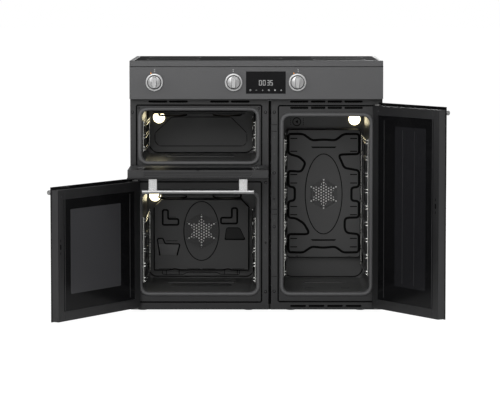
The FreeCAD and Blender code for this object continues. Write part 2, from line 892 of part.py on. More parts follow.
def front_frame(label, left, right, mouths, rows):
    """Two stiles and the rails between them: a sheet recessed round each mouth.

    The frame's openings are square and a little wider than the cavities, whose
    flanges close them from behind, and the seals hide their corners.
    """
    sheet = new_body(label + "_sheet", own_node=False)
    pad(sheet, "front", "frame_face", "frame_wall",
        rectangle(left, right, "underside", "fascia_bottom"))
    pocket(sheet, "front", "frame_face", "recess_depth",
           *[recess(edges[0], edges[1], f"{edges[2]} - {name}_recess_low",
                    f"{edges[3]} + {name}_recess_high") for name, edges in mouths.items()])
    for level, slots in rows.items():
        pocket(sheet, "front", "frame_face", "frame_wall",
               *[slot(f"{left} + {start}", length, level) for start, length in slots])
    sides = next(iter(mouths.values()))[:2]
    inner = (f"{sides[0]} - mouth_gap", f"{sides[1]} + mouth_gap")
    levels = ["underside"]
    for _, _, low, high in mouths.values():
        levels += [f"{low} - mouth_gap", f"{high} + mouth_gap"]
    levels.append("fascia_bottom")
    spans = [(left, inner[0], levels[0], levels[-1]), (inner[1], right, levels[0], levels[-1])]
    spans += [(*inner, low, high) for low, high in zip(levels[::2], levels[1::2])]
    group(label, [
        common(sheet, block(x0, x1, "frame_face", "frame_back", z0, z1))
        for x0, x1, z0, z1 in spans
    ])


def front_frames():
    front_frame("left_front_frame", "left_side", "left_end",
                {"main": MAIN, "grill": GRILL}, LEFT_SLOTS)
    front_frame("right_front_frame", "right_start", "right_side",
                {"tall": TALL}, RIGHT_SLOTS)


# ---------------------------------------------------------------- cavities

def outside(left, right, low, high, grow):
    """The outline of what lies round a cavity, its corners clear of the cavity's."""
    return softened(f"{left} - ({grow})", f"{right} + ({grow})", f"{low} - ({grow})",
                    f"{high} + ({grow})", f"0.55 * (cavity_corner + ({grow}))")


def cavity(label, edges, back, holes):
    """An enamelled box: mouth flange, rounded tube and back wall with holes."""
    body = new_body(label)
    pad(body, "front", "frame_back", "cavity_wall", outside(*edges, "flange_width"))
    pad(body, "front", "frame_back", f"{back} - frame_back + cavity_wall",
        outside(*edges, "cavity_wall"))
    pocket(body, "front", "frame_back", f"{back} - frame_back", opening(*edges))
    pocket(body, "front", back, "cavity_wall", *holes)
    return body


def floor_bead(body, edges, middle_y):
    """A raised bar pressed across the cavity floor."""
    left, right, low, _ = edges
    pad(body, "top", f"{low} - 0.2", "bead_height + 0.2",
        softened(f"{left} + bead_inset", f"{right} - bead_inset",
                 f"{middle_y} - bead_width / 2", f"{middle_y} + bead_width / 2",
                 "bead_width / 3"))


# Lamp centres, from the nearest side and the roof of each cavity.
GRILL_LAMP = ("left_cavity + 24 + lamp_radius", "grill_roof - 24 - lamp_radius")
MAIN_LAMP = ("left_cavity + 8 + lamp_radius", "main_roof - 22 - lamp_radius")
TALL_LAMP = ("tall_cavity_end - 14 - lamp_radius", "tall_roof - 12 - lamp_radius")


def lamp_hole(place):
    """The twelve-sided hole that a lamp's neck goes through."""
    return many_sided(*place, "lamp_radius - lamp_rim", 12)


def element_holes(edges):
    """Holes that hold the two tails of a roof element."""
    left, right, _, high = edges
    return [many_sided(x, f"{high} - element_drop", "heater_radius", 6)
            for x in (f"{left} + element_inset", f"{right} - element_inset")]


def fan_holes(x, z):
    """The shaft hole of a fan and the two tail holes of its ring heater."""
    tails = [rectangle(f"{x} {sign} tail_spacing / 2 - tail_radius",
                       f"{x} {sign} tail_spacing / 2 + tail_radius",
                       f"{z} - ring_heater_radius - tail_radius",
                       f"{z} - ring_heater_radius + tail_radius") for sign in "-+"]
    return [many_sided(x, z, "fan_hub_radius", 8), *tails]


def grill_cavity():
    holes = [lamp_hole(GRILL_LAMP), *element_holes(GRILL)]
    body = cavity("grill_cavity", GRILL, "grill_back", holes)
    left, right = "left_cavity + 31.5", "left_cavity_end - 34.5"
    top, bottom = "grill_roof - 46", "grill_floor + 28.5"
    pad(body, "front", "grill_back - emboss_height", "emboss_height + 0.1", polygon([
        (f"{left} + 62", top), (f"{right} - 60", top), (right, f"{top} - 59"),
        (right, f"{bottom} + 11"), (f"{right} - 15", bottom), (f"{left} + 14", bottom),
        (left, f"{bottom} + 17"), (left, f"{top} - 59")]))
    floor_bead(body, GRILL, "grill_bead_middle")


def main_cavity():
    holes = [lamp_hole(MAIN_LAMP), *element_holes(MAIN),
             *fan_holes("left_centre", "main_fan_level")]
    body = cavity("main_cavity", MAIN, "fan_oven_back", holes)
    floor_bead(body, MAIN, "fan_bead_middle")


def tall_cavity():
    holes = [lamp_hole(TALL_LAMP), *fan_holes("tall_fan_axis", "tall_fan_level")]
    body = cavity("tall_cavity", TALL, "fan_oven_back", holes)
    floor_bead(body, TALL, "fan_bead_middle")


def seal(label, edges):
    """A soft gasket round the cavity's mouth, bevelled in front."""
    body = new_body(label)
    face = "seal_seat - seal_height"
    left, right, low, high = edges
    outlines = [
        softened(f"{left} - ({grow})", f"{right} + ({grow})", f"{low} - ({grow})",
                 f"{high} + ({grow})", f"cavity_corner + ({grow})", 3)
        for grow in ("seal_width", "seal_clear")
    ]
    pad(body, "front", face, "seal_height", *outlines)
    bevel(body, "seal_bevel", in_plane("Y", face))


def insulation(label, edges, back, passages):
    """Mineral wool round a cavity, bored at the back for motor and lamp."""
    body = new_body(label, own_node=False)
    start = "frame_back + cavity_wall"
    pad(body, "front", start, f"{back} + cavity_wall + insulation_wall - ({start})",
        outside(*edges, "cavity_wall + insulation_wall"))
    pocket(body, "front", start, f"{back} + cavity_wall - ({start})",
           outside(*edges, "cavity_wall"))
    pocket(body, "front", back, "insulation_wall + 2 * cavity_wall", *passages)
    return body


def insulations():
    group("insulation", [
        insulation("grill_wool", GRILL, "grill_back",
                   [octagon_bore(*GRILL_LAMP, "lamp_radius")]),
        insulation("main_wool", MAIN, "fan_oven_back",
                   [octagon_bore("left_centre", "main_fan_level", "motor_radius + motor_gap"),
                    octagon_bore(*MAIN_LAMP, "lamp_radius")]),
        insulation("tall_wool", TALL, "fan_oven_back",
                   [octagon_bore("tall_fan_axis", "tall_fan_level", "motor_radius + motor_gap"),
                    octagon_bore(*TALL_LAMP, "lamp_radius")]),
    ])


def cavity_lamps():
    """Glass domes in the back walls with a holder behind each."""
    lamps = []
    for (x, z), back in ((GRILL_LAMP, "grill_back"), (MAIN_LAMP, "fan_oven_back"),
                         (TALL_LAMP, "fan_oven_back")):
        dome = prism("y", 12, "lamp_radius", f"{back} - lamp_depth", back, x=x, z=z)
        neck = prism("y", 12, "lamp_radius - lamp_rim", back, f"{back} + lamp_neck",
                     x=x, z=z)
        lamps.append(fuse(dome, neck))
    group("cavity_lamps", lamps)


# ------------------------------------------------------- fans and heating

def slug(x, z, radius, sides, front, depth):
    """A many-sided cutter or bar along Y, its corners on a circle."""
    corners = [
        FreeCAD.Vector(x + radius * math.cos(turn), front, z + radius * math.sin(turn))
        for turn in (math.tau * step / sides for step in range(sides + 1))
    ]
    return Part.Face(Part.makePolygon(corners)).extrude(FreeCAD.Vector(0, depth, 0))


PERFORATION_ROWS = 5             # from the middle hole to the field's edge


def perforation(x, z, outline):
    """Diamond holes on a triangular grid, kept where the outline test allows."""
    pitch, radius = number("hole_pitch"), number("hole_radius")
    front, depth = number("cover_face") - 1, number("cover_wall") + 2
    cutters = []
    reach = range(-PERFORATION_ROWS, PERFORATION_ROWS + 1)
    for column in reach:
        across = column * pitch * math.sqrt(3) / 2
        for row in reach:
            up = (row + (column % 2) / 2) * pitch
            if outline(column, row + (column % 2) / 2):
                cutters.append(slug(x + across, z + up, radius, 4, front, depth))
    return cutters


def in_hexagon(column, row):
    return abs(row) + abs(column) / 2 <= PERFORATION_ROWS


def in_disc(column, row):
    return math.hypot(column * math.sqrt(3) / 2, row) <= PERFORATION_ROWS - 0.4


def groove(wire, width):
    """A closed channel of even width along a wire on the cover's face."""
    depth = number("groove_depth")
    outer = Part.Face(wire.makeOffset2D(width / 2, 2))
    inner = Part.Face(wire.makeOffset2D(-width / 2, 2))
    run = FreeCAD.Vector(0, depth, 0)
    return outer.extrude(run).cut(inner.extrude(run))


def outline_wire(x, z, points):
    """A closed wire on the cover's face through points given from the fan's axis."""
    face = number("cover_face")
    spots = [FreeCAD.Vector(x + across, face, z + up) for across, up in points]
    return Part.makePolygon(spots + spots[:1])


OVAL_SIDES = 24


def oval(x, z, width, height):
    """The elliptical pressed line round the perforation, as a shallow cutter."""
    run = FreeCAD.Vector(0, number("groove_depth"), 0)

    def disc(grow):
        turns = [math.tau * step / OVAL_SIDES for step in range(OVAL_SIDES)]
        edge = [((width / 2 + grow) * math.cos(turn), (height / 2 + grow) * math.sin(turn))
                for turn in turns]
        return Part.Face(outline_wire(x, z, edge)).extrude(run)

    half_line = number("groove_width") / 2
    return disc(half_line).cut(disc(-half_line))


def cover_body(name, x, z, half_width, low, high, chamfer):
    """A shallow dish: flat face, side walls back to the cavity, open behind."""
    body = doc.addObject("PartDesign::Body", name)

    def plate(shrink):
        left, right = f"{x} - {half_width} + {shrink}", f"{x} + {half_width} - {shrink}"
        bottom, top = f"{z} - {low} + {shrink}", f"{z} + {high} - {shrink}"
        return polygon([(left, bottom), (right, bottom), (right, f"{top} - {chamfer}"),
                        (f"{right} - {chamfer}", top), (f"{left} + {chamfer}", top),
                        (left, f"{top} - {chamfer}")])

    pad(body, "front", "cover_face", "cover_depth", plate("0"))
    pocket(body, "front", "cover_face + cover_wall", "cover_depth", plate("cover_wall"))
    return body


L_PRESSING = [(-145, 79), (-125, 79), (-125, 45), (-86, 45), (-86, 23), (-145, 23)]
J_PRESSING = [(114, 86), (134, 86), (134, 28), (73, 28), (73, 50), (114, 50)]
BUCKET_PRESSING = [(-168, -25), (-143, -25), (-136, -48), (-82, -48), (-92, -92),
                   (-158, -92)]
WEDGE_PRESSING = [(92, 12), (142, 12), (164, -32), (86, -32)]


def main_fan_cover():
    x, z = number("left_centre"), number("main_fan_level")
    body = cover_body("main_cover_dish", "left_centre", "main_fan_level",
                      "main_cover_width / 2", "main_cover_low", "main_cover_high",
                      "cover_chamfer")
    line = number("groove_width")
    cutters = perforation(x, z, in_hexagon)
    cutters.append(oval(x, z, number("main_oval_width"), number("main_oval_height")))
    for pressing in (L_PRESSING, J_PRESSING, BUCKET_PRESSING, WEDGE_PRESSING):
        cutters.append(groove(outline_wire(x, z, pressing), line))
    tool = plain(Part.makeCompound(cutters), "main_cover_cutters")
    node(cut(body, tool), "main_fan_cover")


# One closed channel, from the top middle clockwise to the bottom middle, then up the left.
RIGHT_CHANNEL = [(0, 204), (43, 201), (75, 225), (132, 225), (132, 150), (62, 148),
                 (58, 140), (77, 98), (132, 88), (132, 27), (104, 24), (104, -25),
                 (132, -27), (132, -88), (87, -89), (79, -97), (79, -130), (87, -146),
                 (132, -151), (132, -219), (74, -220), (44, -198)]
LEFT_CHANNEL = [(-44, -198), (-76, -220), (-132, -219), (-132, -151), (-61, -151),
                (-55, -143), (-74, -110), (-104, -91), (-132, -89), (-132, -27),
                (-108, -24), (-108, 25), (-132, 28), (-132, 87), (-88, 84),
                (-79, 91), (-68, 117), (-91, 139), (-132, 151), (-132, 225),
                (-77, 225), (-44, 201)]
NOTCH_LEVELS = (208, 160, 73, 41, -47, -78, -167, -199)
SLOT_LEVELS = (175, -173)


def tall_fan_cover():
    x, z = number("tall_fan_axis"), number("tall_fan_level")
    body = cover_body("tall_cover_dish", "tall_fan_axis", "tall_fan_level",
                      "tall_cover_width / 2", "tall_cover_low", "tall_cover_high", "4")
    depth, face = number("groove_depth"), number("cover_face")
    cutters = perforation(x, z, in_disc)
    cutters.append(oval(x, z, number("tall_oval_width"), number("tall_oval_height")))
    channel = outline_wire(x, z, RIGHT_CHANNEL + LEFT_CHANNEL)
    cutters.append(groove(channel, number("channel_width")))
    long, wide, side = (number(size) for size in ("notch_length", "notch_width", "notch_side"))
    marks = [(sense * side, level, long, wide)
             for level in NOTCH_LEVELS for sense in (-1, 1)]
    marks += [(0, level, number("cover_slot_length"), number("cover_slot_width"))
              for level in SLOT_LEVELS]
    for across, up, length, width in marks:
        corner = FreeCAD.Vector(x + across - length / 2, face, z + up - width / 2)
        cutters.append(Part.makeBox(length, depth, width, corner))
    tool = plain(Part.makeCompound(cutters), "tall_cover_cutters")
    node(cut(body, tool), "tall_fan_cover")


def star_points(radius, hub):
    """Six blades: tips at the half past and on the hour, valleys between."""
    points = []
    for step in range(12):
        reach = radius if step % 2 == 0 else hub
        turn = math.radians(90 + 30 * step)
        points.append((f"{reach} * {math.cos(turn):.6f}", f"{reach} * {math.sin(turn):.6f}"))
    return points


def fan(label, x, z):
    """A six-bladed impeller plate on its hub, drawn about the motor's axis."""
    body = new_body(label)
    pad(body, "front", "-fan_wall", "fan_wall",
        polygon(star_points("fan_radius", "fan_radius * 0.42")))
    nose = "-fan_wall - fan_hub_nose"
    pad(body, "front", nose, "fan_hub_depth",
        many_sided("0", "0", "fan_hub_radius - 1", 8))
    pocket(body, "front", nose, "fan_hub_depth",
           octagon_bore("0", "0", "motor_shaft_radius"))
    for step in range(6):
        turn = math.radians(90 + 60 * step)
        blade = [(0.34, -0.06), (0.8, -0.03), (0.8, 0.0), (0.34, 0.0)]
        corners = [
            (f"fan_radius * {r * math.cos(turn) - s * math.sin(turn):.6f}",
             f"fan_radius * {r * math.sin(turn) + s * math.cos(turn):.6f}")
            for r, s in blade
        ]
        pad(body, "front", "-fan_wall / 4", "blade_depth", polygon(corners))
    move(body, x, "cover_face + cover_wall + fan_clear", z)


def fan_motors():
    """Motor cans behind the back walls with the fan shafts."""
    motors = []
    for x, z in (("left_centre", "main_fan_level"), ("tall_fan_axis", "tall_fan_level")):
        rear = "fan_oven_back + cavity_wall"
        can = prism("y", 12, "motor_radius", rear, f"{rear} + motor_depth", x=x, z=z)
        shaft = prism("y", 6, "motor_shaft_radius - shaft_gap",
                      "cover_face + cover_wall + fan_clear - fan_wall - fan_hub_nose / 2",
                      rear, x=x, z=z)
        motors.append(fuse(can, shaft))
    group("fan_motors", motors)


RING_SIDES = 16


def ring_heater(x, z):
    """A ring element of square section, with two tails through the back wall."""
    reach, wire = number("ring_heater_radius"), number("heater_radius")
    tail, spacing = number("tail_radius"), number("tail_spacing")
    front = number("cover_face + cover_wall + heater_inset")
    length = number("fan_oven_back + cavity_wall") - front
    corner = 1 / math.cos(math.pi / RING_SIDES)
    shape = slug(x, z, (reach + wire) * corner, RING_SIDES, front, 2 * wire).cut(
        slug(x, z, (reach - wire) * corner, RING_SIDES, front, 2 * wire))
    for middle in (x - spacing / 2, x + spacing / 2):
        corner_spot = FreeCAD.Vector(middle - tail, front, z - reach - tail)
        shape = shape.fuse(Part.makeBox(2 * tail, length, 2 * tail, corner_spot))
    return shape


def ring_heaters():
    rings = [ring_heater(number("left_centre"), number("main_fan_level")),
             ring_heater(number("tall_fan_axis"), number("tall_fan_level"))]
    node(plain(Part.makeCompound(rings)), "ring_heaters")


ROOF_BENDS = 3
BEND_CHORDS = 4


def roof_element(edges, back, end_gap):
    """A tube bent to and fro under the roof in four runs, its tails out at the back."""
    left = number(f"{edges[0]} + element_inset")
    right = number(f"{edges[1]} - element_inset")
    level = number(f"{edges[3]} - element_drop")
    tail = number(f"{back} + cavity_wall")
    bend = (right - left) / (2 * ROOF_BENDS)
    turns = ((number(f"frame_back + {end_gap}") + bend, -1),
             (number(f"{back} - element_rear") - bend, 1))
    spots = [(left, tail)]
    for run in range(ROOF_BENDS):
        level_y, sense = turns[run % 2]
        middle = left + (2 * run + 1) * bend
        for chord in range(BEND_CHORDS + 1):
            turn = math.pi * (1 - chord / BEND_CHORDS)
            spots.append((middle + bend * math.cos(turn),
                          level_y + sense * bend * math.sin(turn)))
    spots.append((right, tail))
    path = Part.makePolygon([FreeCAD.Vector(x, y, level) for x, y in spots])
    radius = number("heater_radius")
    rim = Part.makePolygon([
        FreeCAD.Vector(left + radius * math.cos(turn), tail, level + radius * math.sin(turn))
        for turn in (math.tau * step / 6 for step in range(7))
    ])
    return path.makePipeShell([rim], True, False, 1)


def roof_elements():
    tubes = [roof_element(GRILL, "grill_back", "grill_element_front"),
             roof_element(MAIN, "fan_oven_back", "main_element_front")]
    node(plain(Part.makeCompound(tubes)), "roof_elements")


def runner(side, sign, level, front, rear):
    """One wire of a rack: out from the front upright, then back to the rear one."""
    wire = number("rack_wire")
    wall = number(side)
    corner = FreeCAD.Vector(wall + sign * number("rack_reach"), front, level)
    path = Part.makePolygon([
        FreeCAD.Vector(wall + sign * number("rack_upright"), front, level), corner,
        FreeCAD.Vector(corner.x, rear, level)])
    start = path.Vertexes[0].Point
    rim = Part.makePolygon([
        start + FreeCAD.Vector(0, wire * along, wire * up)
        for along, up in ((-1, -1), (1, -1), (1, 1), (-1, 1), (-1, -1))
    ])
    return path.makePipeShell([rim], True, False, 1)


def side_racks(name, edges, back, levels):
    """Two wire ladders that stand against the cavity's sides."""
    front = number("frame_back + rack_front")
    rear = number(f"{back} - rack_rear")
    first = number(f"{edges[2]} + {name}_rack_first")
    pitch, pair = number(f"{name}_rack_pitch"), number("rack_pair")
    upright = number("rack_upright")
    ladders = []
    for side, sign in ((edges[0], 1), (edges[1], -1)):
        stands = ((number(side) + sign * upright, front),
                  (number(side) + sign * number("rack_reach"), rear))
        top = first + (levels - 1) * pitch + pair / 2 + number("rack_over")
        shape = None
        for x, y in stands:
            low = first - pair / 2 - number("rack_over")
            post = Part.makeBox(2 * upright, 2 * upright, top - low,
                                FreeCAD.Vector(x - upright, y - upright, low))
            shape = post if shape is None else shape.fuse(post)
        runners = []
        for step in range(levels):
            for offset in (-pair / 2, pair / 2):
                level = first + step * pitch + offset
                runners.append(runner(side, sign, level, front, rear))
        ladders.append(shape.multiFuse(runners))
    node(plain(Part.makeCompound(ladders)), f"{name}_side_racks")


def racks():
    side_racks("grill", GRILL, "grill_back", int(number("grill_rack_levels")))
    side_racks("main", MAIN, "fan_oven_back", int(number("main_rack_levels")))
    side_racks("tall", TALL, "fan_oven_back", int(number("tall_rack_levels")))


# ------------------------------------------------------------------- doors

def door_panes(name, place, edges, face):
    """Outer glass and inner glass, drawn shut, placed by the hinge line."""
    x0, x1, z0, z1 = edges
    outer = new_body(f"{name}_door_glass")
    pad(outer, "front", face, "door_glass_wall", rectangle(x0, x1, z0, z1))
    place(outer)
    inner = new_body(f"{name}_inner_glass")
    rail = "door_inset + door_rail - door_rebate + pane_gap"
    seat = f"{face} + door_thickness - inner_glass_wall - pane_setback"
    pad(inner, "front", seat, "inner_glass_wall",
        rectangle(f"{x0} + {rail}", f"{x1} - ({rail})", f"{z0} + {rail}",
                  f"{z1} - ({rail}) - door_top_inset + door_inset"))
    place(inner)


def door_frame(name, place, edges, face, hinge_cuts):
    """The metal frame behind the glass: rails, a pane rebate and a top vent."""
    x0, x1, z0, z1 = edges
    body = new_body(f"{name}_door_frame")
    back = f"{face} + door_glass_wall"
    depth = "door_thickness - door_glass_wall"
    top = f"{z1} - door_top_inset"
    left, right, low = f"{x0} + door_inset", f"{x1} - door_inset", f"{z0} + door_inset"
    pad(body, "front", back, depth,
        rectangle(left, right, low, top),
        rectangle(f"{left} + door_rail", f"{right} - door_rail",
                  f"{low} + door_rail", f"{top} - door_rail"))
    rebate = "inner_glass_wall + pane_setback"
    edge = "door_rail - door_rebate"
    pocket(body, "front", f"{face} + door_thickness - ({rebate})", rebate,
           rectangle(f"{left} + {edge}", f"{right} - ({edge})",
                     f"{low} + {edge}", f"{top} - ({edge})"))
    middle = f"({x0} + {x1}) / 2"
    length = "tall_vent_length" if name == "tall" else "vent_length"
    pocket(body, "top", f"{top} - vent_depth", "vent_depth",
           softened(f"{middle} - {length} / 2", f"{middle} + {length} / 2",
                    f"{back} + vent_inset", f"{back} + vent_inset + vent_width",
                    "vent_corner"))
    hinge_cuts(body)
    place(body)


BAR_SIDES = 14


def door_handle(name, place, edges, face):
    """Bar with thicker end sleeves, and two flat brackets off the glass."""
    x0, x1, _, z1 = edges
    level = f"{z1} - handle_drop"
    axis = f"{face} - handle_reach"
    start, end = f"{x0} + handle_inset", f"{x1} - handle_inset"
    inner, outer = f"{start} + handle_end_length", f"{end} - handle_end_length"
    core = prism("x", BAR_SIDES, "handle_radius", inner, outer, y=axis, z=level)
    sleeves = [
        prism("x", BAR_SIDES, "handle_end_radius", start, inner, y=axis, z=level),
        prism("x", BAR_SIDES, "handle_end_radius", outer, end, y=axis, z=level),
    ]
    bar = fuse(core, *sleeves)
    place(node(bar, f"{name}_handle_bar"))
    brackets = []
    for centre in (f"{start} + bracket_inset", f"{end} - bracket_inset"):
        stem = block(f"{centre} - bracket_width / 2", f"{centre} + bracket_width / 2",
                     axis, face, f"{level} - bracket_height / 2",
                     f"{level} + bracket_height / 2")
        saddle = prism("x", BAR_SIDES, "handle_end_radius",
                       f"{centre} - bracket_width / 2 - 1",
                       f"{centre} + bracket_width / 2 + 1", y=axis, z=level)
        brackets.append(cut(stem, saddle))
    place(group(f"{name}_handle_brackets", brackets))


def side_hung_door(name, hinge, edges, angle):
    """A side-hung door, drawn about its vertical hinge line."""

    def place(item):
        move(item, hinge, "swing_line", "0", turn=((0, 0, 1), angle))

    def bores(body):
        low = f"{edges[2]} + door_inset"
        top = f"{edges[3]} - door_top_inset"
        for start in (low, f"{top} - bore_depth"):
            pocket(body, "top", start, "bore_depth",
                   octagon_bore("0", "0", "pin_radius + pin_gap"))

    face = "-swing_back"
    door_panes(name, place, edges, face)
    door_frame(name, place, edges, face, bores)
    door_handle(name, place, edges, face)


def drop_down_door():
    """The grill door, drawn about its level hinge line, notched for the arms."""
    edges = ("left_side", "left_side + left_door_width", "-drop_rise",
             "door_top - drop_level")

    def place(item):
        move(item, "0", "drop_line", "drop_level", turn=((1, 0, 0), "drop_angle"))

    def notches(body):
        bore = "drop_pin_reach + shaft_end_gap"
        for start, bored in zip(ARM_STARTS, (f"{ARM_STARTS[0]} + arm_wall",
                                             f"{ARM_STARTS[1]} - ({bore})")):
            pocket(body, "side", f"{start} - arm_gap", "arm_wall + 2 * arm_gap",
                   rectangle("-notch_reach", "drop_back + 2", "-drop_rise - 1",
                             "notch_reach"))
            pocket(body, "side", bored, bore, octagon_bore("0", "0", "pin_radius + pin_gap"))

    face = "-drop_back"
    door_panes("grill", place, edges, face)
    door_frame("grill", place, edges, face, notches)
    door_handle("grill", place, edges, face)


ARM_STARTS = ("left_side + arm_inset",
              "left_side + left_door_width - arm_inset - arm_wall")


def grill_hinge_arms():
    """Fixed claws on the front frame with the pins of the drop-down door."""
    arms = []
    for start, sense in zip(ARM_STARTS, (1, -1)):
        end, middle = f"{start} + arm_wall", f"{start} + arm_wall / 2"
        shank = block(start, end, "drop_line", "frame_face", "drop_level - claw_radius",
                      "drop_level + claw_radius")
        nose = prism("x", 8, "claw_radius", start, end, y="drop_line", z="drop_level")
        reach = ((middle, f"{end} + drop_pin_reach") if sense > 0
                 else (f"{start} - drop_pin_reach", middle))
        hinge_pin = prism("x", 8, "pin_radius", *reach, y="drop_line", z="drop_level")
        arms.append(fuse(shank, nose, hinge_pin))
    return arms


def door_hinge_brackets():
    """Plates off the front frame above and below each side-hung door."""
    brackets = []
    doors = ((1, "main_hinge", "main_door_bottom", "main_door_top"),
             (-1, "tall_hinge", "tall_door_bottom", "door_top"))
    for sign, hinge, bottom, top in doors:
        ends = ((f"{hinge} + bracket_start", f"{hinge} + bracket_length") if sign > 0
                else (f"{hinge} - bracket_length", f"{hinge} - bracket_start"))
        low = f"{bottom} + door_inset - bracket_gap - bracket_wall"
        high = f"{top} - door_top_inset + bracket_gap"
        for level, pin_low, pin_high in (
                (low, f"{low} + bracket_wall",
                 f"{low} + bracket_wall + bracket_gap + pin_reach"),
                (high, f"{high} - bracket_gap - pin_reach", high)):
            over = f"{level} + bracket_wall"
            plate = block(*ends, "swing_line - nose_radius", "frame_face", level, over)
            nose = prism("z", 8, "nose_radius", level, over, x=hinge, y="swing_line")
            hinge_pin = prism("z", 8, "pin_radius", pin_low, pin_high, x=hinge,
                              y="swing_line")
            brackets.append(fuse(plate, nose, hinge_pin))
    return brackets


def door_hinges():
    group("door_hinges", grill_hinge_arms() + door_hinge_brackets())


def door_catches():
    """Spring roller catches on the frames at the doors' free edges."""
    catches = []
    for x, z in (("left_end - catch_inset", "(main_door_bottom + main_door_top) / 2"),
                 ("right_start + catch_inset", "tall_catch_level")):
        shoulder = "frame_face - catch_length"
        stem = prism("y", 6, "catch_radius", shoulder, "frame_face", x=x, z=z)
        tip = prism("y", 6, "catch_tip_radius", f"{shoulder} - catch_tip_length", shoulder,
                    x=x, z=z)
        catches.append(fuse(stem, tip))
    group("door_catches", catches)


# ------------------------------------------------------------- electrics

# The blower's side view: how far behind its mouth and above the deck each corner is.
BLOWER_OUTLINE = [(0, 0), (130, 0), (150, 30), (140, 75), (105, 92), (65, 80), (50, 40),
                  (0, 26)]


def cooling_blower():
    """A cross-flow blower on the deck that airs the fascia and door vents."""
    body = new_body("cooling_blower")
    pad(body, "side", "-blower_length / 2", "blower_length", polygon([
        (f"blower_front + {behind}", f"deck_top + {up}") for behind, up in BLOWER_OUTLINE]))
    pocket(body, "side", "blower_wall - blower_length / 2",
           "blower_length - 2 * blower_wall",
           rectangle("blower_front - 1", "blower_front + blower_throat",
                     "deck_top + blower_wall", "deck_top + blower_wall + blower_mouth"))


def terminal_box():
    """The mains connection box, let into the rear panel, with its cable inlet."""
    body = new_body("terminal_box")
    left, right = "terminal_right - terminal_width", "terminal_right"
    low, high = "terminal_level", "terminal_level + terminal_height"
    front = "rear_face - terminal_depth"
    pad(body, "front", front, "terminal_depth", rectangle(left, right, low, high))
    pocket(body, "front", f"{front} + terminal_wall",
           "terminal_depth - terminal_wall - inlet_wall",
           rectangle(f"{left} + terminal_wall", f"{right} - terminal_wall",
                     f"{low} + terminal_wall", f"{high} - terminal_wall"))
    pocket(body, "front", "rear_face - inlet_wall", "inlet_wall",
           circle("terminal_right - terminal_width / 2", "terminal_level + inlet_level",
                  "inlet_radius"))


# ---------------------------------------------------------------- assembly

def build():
    fill_sheet()
    base_tray()
    adjustable_feet()
    side_panel("left_side_panel", "left_side", "right")
    side_panel("right_side_panel", "right_side", "left")
    rear_panel()
    module_divider()
    cavity_deck()
    hob_trim()
    hob_glass()
    coil_pan()
    induction_coils()
    control_panel()
    display_glass()
    indicator_lights()
    rotary_switches()
    for name in ("grill", "main", "tall"):
        selector_knob(f"{name}_knob", f"{name}_selector")
    temperature_rings()
    front_frames()
    grill_cavity()
    main_cavity()
    tall_cavity()
    seal("grill_seal", GRILL)
    seal("main_seal", MAIN)
    seal("tall_seal", TALL)
    insulations()
    cavity_lamps()
    main_fan_cover()
    tall_fan_cover()
    fan("main_fan", "left_centre", "main_fan_level")
    fan("tall_fan", "tall_fan_axis", "tall_fan_level")
    fan_motors()
    ring_heaters()
    roof_elements()
    racks()
    drop_down_door()
    side_hung_door("main", "main_hinge",
                   ("-swing_inset", "left_door_width - swing_inset",
                    "main_door_bottom", "main_door_top"), "-swing_angle")
    side_hung_door("tall", "tall_hinge",
                   ("swing_inset - tall_door_width", "swing_inset",
                    "tall_door_bottom", "door_top"), "swing_angle")
    door_hinges()
    door_catches()
    cooling_blower()
    terminal_box()
    doc.recompute()


def check():
    """Stop before anything is written if an object failed or a node is not sound."""
    faults = [
        f"{item.Name} ({item.Label}) is {state}"
        for item in doc.Objects
        for state in item.State if state in ("Invalid", "Error")
    ]
    for item in NODES:
        shape = item.Shape
        if shape.isNull() or not shape.isValid() or not shape.Solids:
            faults.append(f"{item.Label} has no sound shape")
    if faults:
        raise RuntimeError("; ".join(faults))


def export():
    os.makedirs("parts", exist_ok=True)
    for item in NODES:
        item.Shape.exportStep(f"parts/{item.Label}.step")
    print(len(NODES), "nodes")


build()
check()
export()
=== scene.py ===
import math

import bmesh
import bpy
import numpy as np
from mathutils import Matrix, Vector, geometry


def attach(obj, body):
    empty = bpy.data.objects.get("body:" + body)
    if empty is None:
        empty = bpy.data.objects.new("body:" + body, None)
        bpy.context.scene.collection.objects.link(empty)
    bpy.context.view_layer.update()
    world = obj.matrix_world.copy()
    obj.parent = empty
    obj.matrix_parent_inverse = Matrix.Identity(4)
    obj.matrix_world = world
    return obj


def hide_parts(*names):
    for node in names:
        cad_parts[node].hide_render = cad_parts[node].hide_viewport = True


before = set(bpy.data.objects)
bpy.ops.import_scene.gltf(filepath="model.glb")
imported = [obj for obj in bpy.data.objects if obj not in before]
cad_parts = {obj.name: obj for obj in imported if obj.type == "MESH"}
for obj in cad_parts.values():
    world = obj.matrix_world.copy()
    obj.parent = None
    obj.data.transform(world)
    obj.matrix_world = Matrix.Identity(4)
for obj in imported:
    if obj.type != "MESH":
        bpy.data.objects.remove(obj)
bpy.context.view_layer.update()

# ------------------------------------------------------------------ layout
# Pieces are built in millimetres, x to the right, y to the rear and z up.
# A face is the y of one of the CAD model's upright faces; a mouth is the
# (x0, x1, z0, z1) of a cavity's opening.

MM = 0.001
RIGHT, REAR, UP = (1, 0, 0), (0, 1, 0), (0, 0, 1)
LEFT, FRONT, DOWN = (-1, 0, 0), (0, -1, 0), (0, 0, -1)
STANDING, HANGING = (RIGHT, REAR, UP), (RIGHT, FRONT, DOWN)

DISPLAY_FACE, FASCIA_PRINT = -300.4, -300.05
FRAME_FACE, SEAL_RECESS, FRAME_EDGE = -255, -253, -252
COVER_FACE, GRILL_BACK, OVEN_BACK = 170, 185, 200
SELECTOR_HEIGHT = 823.5
MOUTHS = {"grill": (-408, -0.5, 540, 720), "main": (-408, -0.5, 70, 424),
          "tall": (98, 404, 70, 700)}
MAIN_FAN, TALL_FAN = (-204.25, 249), (253, 388)
OPEN_ANGLE, HINGE_X, HINGE_Y = 122.3, 437, -283.0

